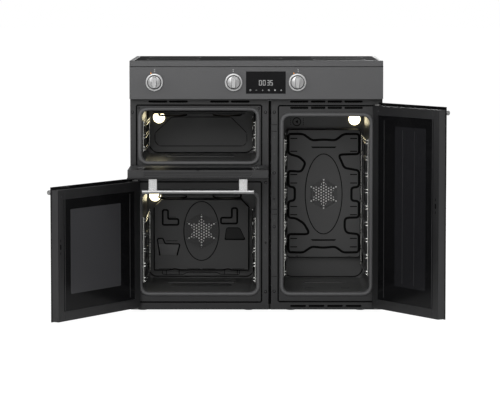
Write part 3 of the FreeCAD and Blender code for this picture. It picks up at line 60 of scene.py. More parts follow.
# ------------------------------------------------------------------ studio
# The cooker stands on a plain white floor in soft light from the front, both
# sides and behind.  The camera is far off with a long lens, a little above the
# hob, as a catalogue picture is taken.

scene = bpy.context.scene
scene.view_settings.view_transform = "Standard"

camera = bpy.data.objects.new("camera", bpy.data.cameras.new("camera"))
scene.collection.objects.link(camera)
camera.data.lens = 185.62
camera.data.sensor_width = 36
camera.data.clip_end = 200
camera.location = (-0.0225, -9.444, 1.169)
camera.rotation_euler = (math.radians(85.222), 0, 0)
scene.camera = camera


def calculated(tree, operation, *terms):
    """A Math node on terms that are sockets or numbers; returns its value socket."""
    node = tree.nodes.new("ShaderNodeMath")
    node.operation = operation
    for socket, term in zip(node.inputs, terms):
        if isinstance(term, float):
            socket.default_value = term
        else:
            tree.links.new(term, socket)
    return node.outputs[0]


def ranged(tree, value, low, high):
    """A value from 0 to 1 moved to the range from low to high; returns its socket."""
    spread = tree.nodes.new("ShaderNodeMapRange")
    spread.inputs["To Min"].default_value = low
    spread.inputs["To Max"].default_value = high
    tree.links.new(value, spread.inputs["Value"])
    return spread.outputs["Result"]


def seen_white(tree, light_strength):
    """Strength 1 for rays that see the background, and a lower one for its light."""
    path = tree.nodes.new("ShaderNodeLightPath")
    seen = calculated(tree, "MAXIMUM", path.outputs["Is Camera Ray"],
                      path.outputs["Is Transmission Ray"])
    return ranged(tree, seen, light_strength, 1.0)


world = bpy.data.worlds.new("studio")
world.use_nodes = True
scene.world = world
sky = world.node_tree.nodes["Background"]
sky.inputs["Color"].default_value = (1, 1, 1, 1)
world.node_tree.links.new(seen_white(world.node_tree, 0.45), sky.inputs["Strength"])


def floor_material():
    """White floor: it keeps the cooker's soft shadow and shows white elsewhere."""
    material = bpy.data.materials.new("studio_floor")
    material.use_nodes = True
    tree = material.node_tree
    shader = tree.nodes["Principled BSDF"]
    shader.inputs["Base Color"].default_value = (0.9, 0.9, 0.9, 1)
    shader.inputs["Roughness"].default_value = 0.9
    shader.inputs["Specular IOR Level"].default_value = 0.0
    glow = tree.nodes.new("ShaderNodeEmission")
    glow.inputs["Color"].default_value = (1, 1, 1, 1)
    glow.inputs["Strength"].default_value = 1.15
    mix = tree.nodes.new("ShaderNodeMixShader")
    path = tree.nodes.new("ShaderNodeLightPath")
    share = calculated(tree, "MULTIPLY", path.outputs["Is Camera Ray"], 0.82)
    tree.links.new(share, mix.inputs["Fac"])
    tree.links.new(shader.outputs["BSDF"], mix.inputs[1])
    tree.links.new(glow.outputs["Emission"], mix.inputs[2])
    tree.links.new(mix.outputs["Shader"], tree.nodes["Material Output"].inputs["Surface"])
    return material


def flat_sheet(name, reach, level):
    """A square sheet: corners at plus and minus reach, all at one level."""
    mesh = bpy.data.meshes.new(name)
    sign = np.array([(-1, -1), (1, -1), (1, 1), (-1, 1)], float)
    corners = np.column_stack([sign * reach, np.full(4, level)])
    mesh.from_pydata(corners.tolist(), [], [(0, 1, 2, 3)])
    sheet = bpy.data.objects.new(name, mesh)
    scene.collection.objects.link(sheet)
    return sheet


floor = flat_sheet("studio_floor", 60.0, 0.0)
floor.data.materials.append(floor_material())


def soft_box(name, place, target, size, power):
    """A square area lamp at a place, turned to a target."""
    lamp = bpy.data.objects.new(name, bpy.data.lights.new(name, "AREA"))
    lamp.data.size = size
    lamp.data.energy = power
    scene.collection.objects.link(lamp)
    lamp.location = place
    aim = lamp.location.copy()
    aim.x, aim.y, aim.z = np.subtract(target, place)
    lamp.rotation_euler = aim.to_track_quat("-Z", "Y").to_euler()


soft_box("front_soft_box", (-0.8, -5.5, 3.0), (0, 0, 0.45), 3.0, 150)
soft_box("left_soft_box", (-4.5, -2.0, 2.6), (0, 0, 0.5), 2.5, 70)
soft_box("right_soft_box", (4.5, -1.5, 2.8), (0, 0, 0.5), 2.5, 60)
soft_box("rear_soft_box", (1.5, 4.5, 3.0), (0, 0, 0.5), 2.5, 90)


# ------------------------------------------------------------ cabinet sheet
# The sides, the base tray and the divider are folded steel sheet in stoved
# paint; the rear panel is bare galvanised sheet, held by rows of screws.

def srgb(code):
    """The linear colour of a six-digit code: each byte put through the sRGB curve."""
    parts = np.array([int(code[i:i + 2], 16) for i in (0, 2, 4)]) / 255
    linear = np.where(parts <= 0.04045, parts / 12.92, ((parts + 0.055) / 1.055) ** 2.4)
    return tuple(float(part) for part in linear)


def finish(name, code, roughness, **sockets):
    """A material whose shader has plain values; returns it, its tree and the shader."""
    material = bpy.data.materials.new(name)
    material.use_nodes = True
    shader = material.node_tree.nodes["Principled BSDF"]
    shader.inputs["Base Color"].default_value = (*srgb(code), 1)
    shader.inputs["Roughness"].default_value = roughness
    for socket, value in sockets.items():
        shader.inputs[socket.replace("_", " ")].default_value = value
    return material, material.node_tree, shader


def new_effect(name, inputs, outputs):
    """An empty node group with named inputs and outputs."""
    group = bpy.data.node_groups.new(name, "ShaderNodeTree")
    for label, kind, value in inputs:
        socket = group.interface.new_socket(label, in_out="INPUT", socket_type=kind)
        socket.default_value = value
    for label, kind in outputs:
        group.interface.new_socket(label, in_out="OUTPUT", socket_type=kind)
    return group, group.nodes.new("NodeGroupInput"), group.nodes.new("NodeGroupOutput")


def noise(tree, vector, scale, detail):
    """Noise of a fixed scale on a vector; returns its value socket."""
    texture = tree.nodes.new("ShaderNodeTexNoise")
    texture.inputs["Scale"].default_value = scale
    texture.inputs["Detail"].default_value = detail
    tree.links.new(vector, texture.inputs["Vector"])
    return texture.outputs["Fac"]


def stoved_effect():
    """Stoved paint: faint cloudy tone, small flecks and an orange-peel surface."""
    group, given, made = new_effect(
        "stoved_paint",
        [("Colour", "NodeSocketColor", (0.1, 0.1, 0.1, 1)),
         ("Fleck Colour", "NodeSocketColor", (0.2, 0.2, 0.2, 1)),
         ("Fleck Amount", "NodeSocketFloat", 0.3),
         ("Roughness", "NodeSocketFloat", 0.4),
         ("Peel", "NodeSocketFloat", 0.1)],
        [("Colour", "NodeSocketColor"), ("Roughness", "NodeSocketFloat"),
         ("Normal", "NodeSocketVector")])
    nodes, links = group.nodes, group.links
    where = nodes.new("ShaderNodeTexCoord").outputs["Object"]
    fleck_map = nodes.new("ShaderNodeMapRange")
    fleck_map.inputs["From Min"].default_value = 0.62
    fleck_map.inputs["From Max"].default_value = 0.72
    links.new(noise(group, where, 900, 1), fleck_map.inputs["Value"])
    fleck = calculated(group, "MULTIPLY", fleck_map.outputs["Result"],
                       given.outputs["Fleck Amount"])
    mix = nodes.new("ShaderNodeMix")
    mix.data_type = "RGBA"
    links.new(fleck, mix.inputs["Factor"])
    links.new(given.outputs["Colour"], mix.inputs[6])
    links.new(given.outputs["Fleck Colour"], mix.inputs[7])
    links.new(mix.outputs[2], made.inputs["Colour"])
    lowered = calculated(group, "SUBTRACT", given.outputs["Roughness"], 0.08)
    cloud = calculated(group, "MULTIPLY_ADD", noise(group, where, 6, 3), 0.16, lowered)
    links.new(cloud, made.inputs["Roughness"])
    peel = nodes.new("ShaderNodeBump")
    peel.inputs["Distance"].default_value = 0.0004
    links.new(given.outputs["Peel"], peel.inputs["Strength"])
    links.new(noise(group, where, 420, 2), peel.inputs["Height"])
    links.new(peel.outputs["Normal"], made.inputs["Normal"])
    return group


stoved = stoved_effect()


def stoved_finish(name, code, fleck_code, amount, roughness, peel, **sockets):
    """A stoved or enamelled material: the paint effect with its own values."""
    material, tree, shader = finish(name, code, roughness, **sockets)
    effect = tree.nodes.new("ShaderNodeGroup")
    effect.node_tree = stoved
    effect.inputs["Colour"].default_value = (*srgb(code), 1)
    effect.inputs["Fleck Colour"].default_value = (*srgb(fleck_code), 1)
    effect.inputs["Fleck Amount"].default_value = amount
    effect.inputs["Roughness"].default_value = roughness
    effect.inputs["Peel"].default_value = peel
    tree.links.new(effect.outputs["Colour"], shader.inputs["Base Color"])
    tree.links.new(effect.outputs["Roughness"], shader.inputs["Roughness"])
    tree.links.new(effect.outputs["Normal"], shader.inputs["Normal"])
    return material


def dress(material, *names):
    """Put a material in the slot of each named CAD piece."""
    for name in names:
        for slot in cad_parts[name].material_slots:
            slot.material = material


cabinet_paint = stoved_finish("cabinet_paint", "3a3a3b", "4a4a4a", 0.3, 0.42, 0.12)
dress(cabinet_paint, "left_side_panel", "right_side_panel")


def galvanised_finish():
    """Zinc: each spangle cell is a slightly different grey and roughness."""
    material, tree, shader = finish("galvanised_sheet", "a9abad", 0.45, Metallic=0.85)
    cells = tree.nodes.new("ShaderNodeTexVoronoi")
    cells.inputs["Scale"].default_value = 90
    where = tree.nodes.new("ShaderNodeTexCoord").outputs["Object"]
    tree.links.new(where, cells.inputs["Vector"])
    grey = tree.nodes.new("ShaderNodeSeparateColor")
    tree.links.new(cells.outputs["Color"], grey.inputs["Color"])
    tone = tree.nodes.new("ShaderNodeMix")
    tone.data_type = "RGBA"
    tone.inputs[6].default_value = (*srgb("8f9193"), 1)
    tone.inputs[7].default_value = (*srgb("b9bbbc"), 1)
    tree.links.new(grey.outputs["Red"], tone.inputs["Factor"])
    tree.links.new(tone.outputs[2], shader.inputs["Base Color"])
    tree.links.new(ranged(tree, grey.outputs["Green"], 0.34, 0.55),
                   shader.inputs["Roughness"])
    return material


dress(galvanised_finish(), "rear_panel", "cavity_deck", "coil_pan", "fan_motors")
dress(stoved_finish("tray_paint", "161616", "1f1f1f", 0.3, 0.6, 0.1), "base_tray",
      "module_divider")


def steel_finish(name, code, roughness, stretch, metallic=1.0):
    """Brushed steel: noise drawn out along one axis moves roughness and surface."""
    material, tree, shader = finish(name, code, roughness, Metallic=metallic)
    where = tree.nodes.new("ShaderNodeTexCoord").outputs["Object"]
    drawn = tree.nodes.new("ShaderNodeMapping")
    drawn.inputs["Scale"].default_value = stretch
    tree.links.new(where, drawn.inputs["Vector"])
    brush = noise(tree, drawn.outputs["Vector"], 30, 3)
    tree.links.new(ranged(tree, brush, roughness - 0.08, roughness + 0.1),
                   shader.inputs["Roughness"])
    scratch = tree.nodes.new("ShaderNodeBump")
    scratch.inputs["Strength"].default_value = 0.12
    scratch.inputs["Distance"].default_value = 0.0002
    tree.links.new(brush, scratch.inputs["Height"])
    tree.links.new(scratch.outputs["Normal"], shader.inputs["Normal"])
    return material


def stacked(outline, rings, origin, u=RIGHT, v=UP, out=FRONT, caps=True):
    """A block from one outline at each (inset, depth) ring, in millimetres.

    inset moves a corner along its mitre (n1 + n2) / (1 + n1 . n2), where n1 and
    n2 are the inward normals beside it; depth runs along out from the origin."""
    outline = np.asarray(outline, float)
    ahead = np.roll(outline, -1, axis=0) - outline
    if np.sum(outline[:, 0] * ahead[:, 1] - outline[:, 1] * ahead[:, 0]) < 0:
        outline = outline[::-1]
        ahead = np.roll(outline, -1, axis=0) - outline
    ahead /= np.linalg.norm(ahead, axis=1)[:, None]
    near = np.roll(ahead, 1, axis=0)
    n1 = np.column_stack([-near[:, 1], near[:, 0]])
    n2 = np.column_stack([-ahead[:, 1], ahead[:, 0]])
    mitre = (n1 + n2) / (1 + np.sum(n1 * n2, axis=1))[:, None]
    rows = [(outline + mitre * inset) @ np.array([u, v], float)
            + np.multiply(out, depth) + origin for inset, depth in rings]
    count = len(outline)
    faces = [(i * count + j, i * count + (j + 1) % count,
              (i + 1) * count + (j + 1) % count, (i + 1) * count + j)
             for i in range(len(rings) - 1) for j in range(count)]
    if caps:
        last = (len(rings) - 1) * count
        faces += [tuple(range(count))[::-1], tuple(range(last, last + count))]
    return np.concatenate(rows), faces


def circle(radius, sides=24, centre=(0, 0)):
    """Corners r (cos a, sin a) at equal turns round a centre."""
    turn = np.arange(sides) * math.tau / sides
    return np.column_stack([np.cos(turn), np.sin(turn)]) * radius + centre


def piece(name, parts, material, body, replaces=(), closed=True, sharp=38):
    """Join (points, faces) parts in millimetres into one piece that rides on a body."""
    start, points, faces = 0, [], []
    for part_points, part_faces in parts:
        points.append(part_points)
        faces += [tuple(start + corner for corner in face) for face in part_faces]
        start += len(part_points)
    mesh = bpy.data.meshes.new(name)
    mesh.from_pydata((np.concatenate(points) * MM).tolist(), [], faces)
    work = bmesh.new()
    work.from_mesh(mesh)
    bmesh.ops.remove_doubles(work, verts=work.verts, dist=0.002 * MM)
    if closed:
        bmesh.ops.recalc_face_normals(work, faces=work.faces)
    work.to_mesh(mesh)
    work.free()
    mesh.shade_smooth()
    mesh.set_sharp_from_angle(angle=math.radians(sharp))
    mesh.materials.append(material)
    made = bpy.data.objects.new(name, mesh)
    scene.collection.objects.link(made)
    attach(made, body)
    if replaces:
        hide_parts(*replaces)
    return made


def screw(across, up, level, radius, u=RIGHT, out=FRONT, height=1.0):
    """A pan head with a round driver recess: across along u, up along z and
    level along out."""
    rings = [(0, -0.3), (0, 0.3 * height), (0.16 * radius, 0.75 * height),
             (0.45 * radius, height), (0.55 * radius, height), (0.66 * radius, 0.3 * height)]
    origin = np.multiply(u, across) + np.array((0, 0, up)) + np.multiply(out, level)
    return stacked(circle(radius, 16), rings, origin, u, UP, out)


zinc_screw = steel_finish("zinc_screw", "8b8c8e", 0.38, (3, 3, 3))
piece("rear_screws", [screw(across, up, 298.9, 4.2, LEFT, REAR)
                      for across in (-438, -150, 150, 438) for up in (16, 300, 590, 868)],
      zinc_screw, "cabinet")

# ------------------------------------------------------------------- feet
# Eight turned plastic pads on threaded stems, screwed up into the base tray.

black_plastic = stoved_finish("black_plastic", "1c1c1d", "2a2a2a", 0.4, 0.5, 0.2)
dress(black_plastic, "rotary_switches", "cooling_blower", "terminal_box")
pad_rings = [(1.5, 0), (0, 1.2), (0, 4.5), (0.8, 5.6), (8, 7), (11, 9), (11.5, 22)]
piece("turned_feet", [stacked(circle(17.5, 32), pad_rings, (x, y, 0), *STANDING)
                      for x in (-409, -28, 124, 375) for y in (-200, 250)],
      black_plastic, "cabinet", ["adjustable_feet"])

# -------------------------------------------------------------------- hob
# A folded steel trim in the fascia's grey holds a black glass-ceramic plate;
# five copper coils lie on a tray under it, each below two thin printed rings.

fascia_paint = stoved_finish("fascia_paint", "4b4b4c", "585859", 0.25, 0.36, 0.06,
                             Metallic=0.25)
dress(fascia_paint, "hob_trim", "control_panel")


def glass_finish(name, code, roughness, smear, **sockets):
    """Dark glass: a plain body with faint wiped smears in its roughness."""
    material, tree, shader = finish(name, code, roughness, **sockets)
    where = tree.nodes.new("ShaderNodeTexCoord").outputs["Object"]
    tree.links.new(ranged(tree, noise(tree, where, 14, 4), roughness, roughness + smear),
                   shader.inputs["Roughness"])
    return material


dress(glass_finish("hob_glass", "0a0a0b", 0.3, 0.04, IOR=1.01), "hob_glass")
dress(stoved_finish("coil_copper", "a5653c", "c98a5a", 0.5, 0.35, 0.4, Metallic=0.9),
      "induction_coils")


def carried(profile, path, up, closed=False):
    """A bar: the (side, height) profile at each point of a flat path, mitred.

    With unit runs a before and b after a point, side lies along a x up + b x up,
    as long as the mitre asks, and height along up."""
    path, up = np.asarray(path, float), np.asarray(up, float)
    after = np.roll(path, -1, axis=0) - path
    after /= np.linalg.norm(after, axis=1)[:, None]
    before = np.roll(after, 1, axis=0)
    if not closed:
        before[0], after[-1] = after[0], before[-1]
    near = np.cross(before, up)
    side = near + np.cross(after, up)
    side /= np.linalg.norm(side, axis=1)[:, None]
    side /= np.sum(side * near, axis=1)[:, None]
    profile = np.asarray(profile, float)
    points = (path[:, None, :] + side[:, None, :] * profile[None, :, :1]
              + up * profile[None, :, 1:])
    rows, width = points.shape[:2]
    faces = [(i * width + j, i * width + (j + 1) % width,
              (i + 1) % rows * width + (j + 1) % width, (i + 1) % rows * width + j)
             for i in range(rows if closed else rows - 1) for j in range(width)]
    if not closed:
        last = (rows - 1) * width
        faces += [tuple(range(width))[::-1], tuple(range(last, last + width))]
    return points.reshape(-1, 3), faces


def bead(width, height, sunk=0.3, steps=6):
    """Half-round: side w/2 cos a, height h sin a, with a flat foot in the sheet."""
    turn = np.linspace(0, math.pi, steps + 1)
    top = np.column_stack([width / 2 * np.cos(turn), height * np.sin(turn)])
    return np.vstack([top, [(-width / 2, -sunk), (width / 2, -sunk)]])


ring_print = stoved_finish("ring_print", "6c6c6c", "7a7a7a", 0.3, 0.5, 0.05)
print_section = [(0.5, 0), (0.5, 0.1), (-0.5, 0.1), (-0.5, 0)]
glass_top = 899.5
zone_rings = []
for x, y in ((-300, 140), (-300, -130), (0, 0), (300, 140), (300, -130)):
    for radius in (95, 92.5):
        rim = np.column_stack([circle(radius, 72, (x, y)), np.full(72, glass_top)])
        zone_rings.append(carried(print_section, rim, UP, True))
piece("hob_zone_rings", zone_rings, ring_print, "cabinet")

# ----------------------------------------------------------------- fascia
# The display window is black glass behind the fascia; the selectors are a
# turned ring with a pointer and a dial with a bar grip, all in satin steel.

dress(glass_finish("display_window", "151516", 0.08, 0.06, IOR=1.25), "display_glass")
# Near-black for a seam, gaps and holes: painted shade where these lie in shadow.
painted_gap_shade = stoved_finish("painted_gap_shade", "040404", "080808", 0.2, 0.8, 0.05,
                          Specular_IOR_Level=0.08)


def window(x0, x1, z0, z1):
    """The four corners of a rectangle."""
    return [(x0, z0), (x1, z0), (x1, z1), (x0, z1)]


def at_front(spots, level):
    """Flat (x, z) points stood up at one depth."""
    spots = np.asarray(spots, float)
    return np.column_stack([spots[:, 0], np.full(len(spots), level), spots[:, 1]])


def slab(x0, x1, z0, z1, level, height):
    """A thin plate on an upright face at one level."""
    return stacked(window(x0, x1, z0, z1), [(0, -0.2), (0, height)], (0, level, 0))


# A near-black strip along the join of hob trim and fascia: painted shadow in the seam.
piece("fascia_seam_shadow", [slab(-450, 450, 877.7, 879.9, -299.9, 0.1)], painted_gap_shade, "cabinet")

selector_steel = steel_finish("selector_steel", "acacac", 0.33, (40, 1, 2))
dial_steel = steel_finish("dial_steel", "a8a8a8", 0.36, (1, 2, 40))
grip_outline = [(-8.5, -15), (-8.5, 15), (-4.5, 20.5), (4.5, 20.5), (8.5, 15), (8.5, -15),
                (4.5, -20.5), (-4.5, -20.5)]
ring_section = [(3.2, -5), (3.3, 3.8), (2.8, 4.8), (1.9, 5), (-2.4, 5), (-3.0, 4.4),
                (-3.2, 3.6), (-3.2, -5)]
for name, x, pointer in (("grill", -361.5, 0), ("main", -80.7, -45), ("tall", 145.9, 30)):
    rim = at_front(circle(27.7, 96, (x, SELECTOR_HEIGHT)), -305.8)
    turn = math.radians(-90 - pointer)
    across = (math.cos(turn), 0, math.sin(turn))
    wedge = stacked([(-2, 0), (2, 0), (1.2, 7.4), (-1.2, 7.4)], [(0, 0), (0, 0.6), (0.5, 1)],
                    (x + 25 * across[0], -310.8, SELECTOR_HEIGHT + 25 * across[2]),
                    (across[2], 0, -across[0]), across)
    sleeve = stacked(circle(30.4, 96), [(0, 0), (0, 1.2)], (x, -299.8, SELECTOR_HEIGHT))
    piece(f"{name}_turned_ring", [carried(ring_section, rim, FRONT, True), wedge, sleeve],
          selector_steel, f"{name}_temperature", [f"{name}_ring"])
    # A black disc behind each dial: painted shade in the gap round it.
    gap = stacked(circle(24.4, 64), [(0, 0), (0, 0.6)], (x, -305, SELECTOR_HEIGHT))
    piece(f"{name}_dial_gap_shade", [gap], painted_gap_shade, f"{name}_selector")
    dial = stacked(circle(22.5, 96), [(0, 0), (0, 8.8), (0.5, 9.7), (1.4, 10.2)],
                   (x, -305.6, SELECTOR_HEIGHT))
    piece(f"{name}_turned_dial", [dial], dial_steel, f"{name}_selector",
          [f"{name}_knob"])
    grip = stacked(grip_outline, [(0, 0), (0, 12.5), (0.6, 14.8), (2, 16)],
                   (x, -315.8, SELECTOR_HEIGHT))
    piece(f"{name}_bar_grip", [grip], selector_steel, f"{name}_selector")



def lit_finish(name, code, roughness, glow_code, strength):
    """A plain material that also gives its own light."""
    return finish(name, code, roughness, Emission_Color=(*srgb(glow_code), 1),
                  Emission_Strength=strength)[0]


dress(lit_finish("amber_light", "e08a1e", 0.3, "ffa020", 0.8), "indicator_lights")
# The display's lit figures glow; the marks printed on the fascia glow too, which on them is
# painted light.
glowing_print_grey = lit_finish("glowing_print_grey", "9c9c9c", 0.5, "b8b8b8", 0.25)


def seven_bars(digit, x0, x1, z0, z1, level):
    """One figure of a seven-bar display: each lit bar is a slim plate."""
    lit = {"0": "abcdef", "3": "abgcd", "5": "afgcd"}[digit]
    middle, wide = (z0 + z1) / 2, 1.7
    bars = {"a": (x0, x1, z1 - wide, z1), "d": (x0, x1, z0, z0 + wide),
            "g": (x0, x1, middle - wide / 2, middle + wide / 2),
            "f": (x0, x0 + wide, middle + 0.3, z1 - 0.4),
            "b": (x1 - wide, x1, middle + 0.3, z1 - 0.4),
            "e": (x0, x0 + wide, z0 + 0.4, middle - 0.3),
            "c": (x1 - wide, x1, z0 + 0.4, middle - 0.3)}
    return [slab(*bars[key], level, 0.15) for key in lit]


figures = []
for digit, x0, x1 in (("0", 9.5, 19), ("0", 23, 32.5), ("3", 39, 46.5), ("5", 49.5, 58)):
    figures += seven_bars(digit, x0, x1, 812.5, 831, DISPLAY_FACE)


def ring_mark(x, z, radius, level, wide):
    """A thin printed circle on an upright face."""
    rim = at_front(circle(radius, 24, (x, z)), level)
    half = wide / 2
    return carried([(half, -0.1), (half, 0.12), (-half, 0.12), (-half, -0.1)], rim, FRONT,
                   True)


# The row of touch icons under the time: strokes and rings.
for stroke in ((-21.7, -20.9, 795.7, 799), (-2.6, 2.4, 795.2, 796.2),
               (19.9, 24.9, 795.2, 796.2), (21.9, 22.9, 793.2, 798.2),
               (44, 44.7, 795.7, 797.8), (44, 46, 795.4, 796), (63.6, 68.6, 793.4, 797),
               (85.8, 90.2, 793.6, 794.5), (86.6, 89.4, 794.6, 797.4)):
    figures.append(slab(*stroke, DISPLAY_FACE, 0.12))
for x, z, radius, wide in ((-21.3, 795.7, 2.6, 0.9), (44.3, 795.7, 2.6, 0.9),
                           (66.1, 797.4, 1.6, 0.7)):
    figures.append(ring_mark(x, z, radius, DISPLAY_FACE, wide))
# Marks printed over the selectors, in the glowing grey: painted light.
for x, z in ((-361, 864.5), (-81.6, 864.8), (148.2, 864.2)):
    figures += [ring_mark(x, z + 3.6, 1.7, FASCIA_PRINT, 0.8),
                slab(x - 2.4, x + 2.4, z - 4.4, z - 3.4, FASCIA_PRINT, 0.1),
                slab(x - 0.4, x + 0.4, z - 3.2, z + 0.6, FASCIA_PRINT, 0.1)]
piece("fascia_figures", figures, glowing_print_grey, "cabinet")

# ----------------------------------------------------------- front frames
# Two enamelled steel frames close the front round the cavities: a shallow
# recess takes each seal, and rows of slots let cooling air out.  Screws hold
# the frames, and the shelf levels are stamped beside each cavity.

frame_enamel = stoved_finish("frame_enamel", "181819", "222223", 0.3, 0.44, 0.08)
dress(frame_enamel, "left_front_frame", "right_front_frame")


def rounded(corners, radius, closed=True, steps=5):
    """Corners cut by p(t) = (1-t)^2 a + 2 t (1-t) c + t^2 b; a and b lie radius away
    from the corner c, or 0.49 of the side where that is less."""
    corners = np.asarray(corners, float)
    t = np.linspace(0, 1, steps + 1)[:, None]
    spots = []
    for i, corner in enumerate(corners):
        if not closed and i in (0, len(corners) - 1):
            spots.append(corner[None])
            continue
        arms = [corners[i - 1] - corner, corners[(i + 1) % len(corners)] - corner]
        a, b = (corner + arm * min(radius / np.linalg.norm(arm), 0.49) for arm in arms)
        spots.append((1 - t) ** 2 * a + 2 * t * (1 - t) * corner + t ** 2 * b)
    return np.concatenate(spots)


# Near-black beads along the seal recesses' edges, short bars on the stile, a strip in the gap
# between the frames, plates in the slots and discs round the screws: painted shade.
recess_shade_lines = []
for edges in ((-427.6, 19.1, 518.4, 740.6), (-427.6, 19.1, 32.9, 466.1),
              (78.4, 423.6, 34.4, 738.6)):
    path = at_front(rounded(window(*edges), 7), SEAL_RECESS)
    recess_shade_lines.append(carried(bead(5.8, 0.7), path, FRONT, True))
for z in (670.5, 646.8, 367.7, 349.8, 126):
    recess_shade_lines.append(slab(54, 74, z - 0.9, z + 0.9, FRAME_FACE, 0.15))
recess_shade_lines.append(slab(46.5, 49.8, 7, 757, FRAME_EDGE, 0.2))
for x0, x1, z0, z1 in ((-430, 21, 745, 761), (76, 426, 722, 761), (76, 426, 9, 30)):
    recess_shade_lines.append(slab(x0, x1, z0, z1, FRAME_EDGE - 0.1, 0.2))
frame_screws = [(-442, 714.9), (32.8, 714.9), (34, 463.4), (33.1, 70.9), (64, 714.9),
                (64, 498), (64, 305), (64, 72)]
recess_screws = [(-418.9, 730.1), (9.2, 728.9)]
seat_rings = [(0, -0.2), (0.4, 0.3)]
for x, z in frame_screws:
    recess_shade_lines.append(stacked(circle(5.6, 24), seat_rings, (x, FRAME_FACE, z)))
for x, z in recess_screws:
    recess_shade_lines.append(stacked(circle(4.4, 24), seat_rings, (x, SEAL_RECESS, z)))
recess_shade_lines.append(stacked(circle(2.2, 16), [(0, -0.2), (0.3, 0.3)], (64.3, FRAME_FACE, 406)))
shadow_black = stoved_finish("shadow_black", "040404", "080808", 0.3, 0.8, 0.05,
                             Specular_IOR_Level=0.08)
piece("frame_shade_lines", recess_shade_lines, shadow_black, "cabinet")
dark_screw = steel_finish("dark_screw", "4a4a4b", 0.42, (3, 3, 3))
piece("frame_screws", [screw(x, z, -FRAME_FACE, 3.6, height=1.1) for x, z in frame_screws]
      + [screw(x, z, -SEAL_RECESS, 2.8, height=0.9) for x, z in recess_screws + [(29, 503)]],
      dark_screw, "cabinet")


def stamped(text, size, x, z, level):
    """Figures of the built-in font as a thin raised mesh that faces the front."""
    curve = bpy.data.curves.new("figures", "FONT")
    curve.body, curve.size, curve.extrude = text, size, 0.1
    curve.align_x, curve.align_y = "CENTER", "CENTER"
    curve.resolution_u = 3
    holder = bpy.data.objects.new("figures", curve)
    flat = bpy.data.meshes.new_from_object(holder)
    points = np.zeros(len(flat.vertices) * 3)
    flat.vertices.foreach_get("co", points)
    points = points.reshape(-1, 3)
    faces = [tuple(face.vertices) for face in flat.polygons]
    bpy.data.objects.remove(holder)
    return np.column_stack([x + points[:, 0], level - points[:, 2], z + points[:, 1]]), faces


stamps = [stamped(str(step + 1), 10, x, first + pitch * step, FRAME_FACE)
          for x, first, pitch, count in ((32, 153.2, 51, 5), (64.3, 148.2, 59.6, 9))
          for step in range(count)]
stamp_tone = stoved_finish("stamped_figures", "3d3d3e", "454545", 0.2, 0.5, 0.05)
piece("shelf_figures", stamps, stamp_tone, "cabinet")

# ------------------------------------------------------------------ seals
# Moulded rubber gaskets with a grooved foot, clipped round each cavity mouth.

seal_rubber = stoved_finish("seal_rubber", "4c4c4d", "585858", 0.4, 0.55, 0.3)
gasket = [(6.4, 0), (6.4, 2.6), (5.0, 3.6), (5.6, 6), (4.6, 8.4), (2.2, 9.8), (-1.2, 9.8),
          (-4.2, 8.6), (-5.6, 6), (-5.0, 3.6), (-6.4, 2.6), (-6.4, 0)]
gaskets, clear = [], 7.2
for x0, x1, z0, z1 in MOUTHS.values():
    edges = window(x0 - clear, x1 + clear, z0 - clear, z1 + clear)
    path = at_front(rounded(edges, 33, steps=9), SEAL_RECESS)
    gaskets.append(carried(gasket, path, FRONT, True))
piece("moulded_gaskets", gaskets, seal_rubber, "cabinet",
      ["grill_seal", "main_seal", "tall_seal"])

# --------------------------------------------------------------- cavities
# Drawn steel boxes in speckled grey enamel, wrapped in mineral wool.  Stamped
# beads stiffen the back walls, drawn near-black as painted shade in their
# grooves, and a ribbed bar crosses each floor.

cavity_enamel = stoved_finish("cavity_enamel", "3c3c3c", "565654", 0.55, 0.33, 0.12)
dress(cavity_enamel, "grill_cavity", "main_cavity", "tall_cavity")
dress(stoved_finish("mineral_wool", "c9bf9a", "8f8560", 0.7, 0.9, 0.9), "insulation")

# Stamped lines are drawn near-black: painted shade in their grooves.
pressing_shade = stoved_finish("pressed_line_shade", "050505", "0a0a0a", 0.4, 0.75, 0.05,
                         Specular_IOR_Level=0.12)
lines = []


def line(corners, level, width, height, radius=8, closed=True):
    """One stamped line on a wall that faces the front, near-black: painted shade in its groove.
    """
    path = at_front(rounded(corners, radius, closed), level)
    lines.append(carried(bead(width, height), path, FRONT, closed))


line([(-314, 674), (-95, 674), (-36, 615), (-36, 580), (-50, 568.6), (-362, 568.6),
      (-376.6, 584), (-376.6, 615)], GRILL_BACK, 5.6, 1.2, 9)
line([(-404, 700), (-404, 572), (-380, 542.5), (-28, 542.5), (-5, 566), (-5, 700)],
     GRILL_BACK, 4.2, 1.0, 14, False)
line([(-402, 140), (-402, 92), (-384, 75), (-27, 75), (-8, 92), (-8, 140)], OVEN_BACK, 4.4,
     1.2, 12, False)
line([(-352, 96), (-352, 82), (-273, 82), (-260, 90), (-150, 90), (-131, 82), (-62, 82),
      (-62, 96)], OVEN_BACK, 2.4, 0.8, 5, False)
for x in (-337, -289, -118, -70):
    line([(x, 80), (x, 100)], OVEN_BACK, 2.4, 0.8, closed=False)
line([(102, 170), (102, 92), (124, 73.5), (378, 73.5), (400, 92), (400, 170)], OVEN_BACK,
     4.2, 1.2, 16, False)
# The arrow in a ring and its tick marks at the top of the tall oven.
lines.append(ring_mark(152.6, 657, 14.8, OVEN_BACK, 3.2))
lines.append(stacked([(147, 657), (157, 650), (157, 664)], [(0, -0.2), (0.5, 0.7)],
                     (0, OVEN_BACK, 0)))
for x in (129.8, 177.6):
    for z in (647, 654, 661, 668):
        lines.append(slab(x - 1, x + 1, z - 2, z + 2, OVEN_BACK, 0.5))
piece("wall_pressings", lines, pressing_shade, "cabinet")


def on_floor(cavity, edges, radius, rings):
    """A rounded bar on a cavity's floor; edges are its (x0, x1, y0, y1)."""
    return stacked(rounded(window(*edges), radius), rings, (0, 0, MOUTHS[cavity][2]),
                   *STANDING)


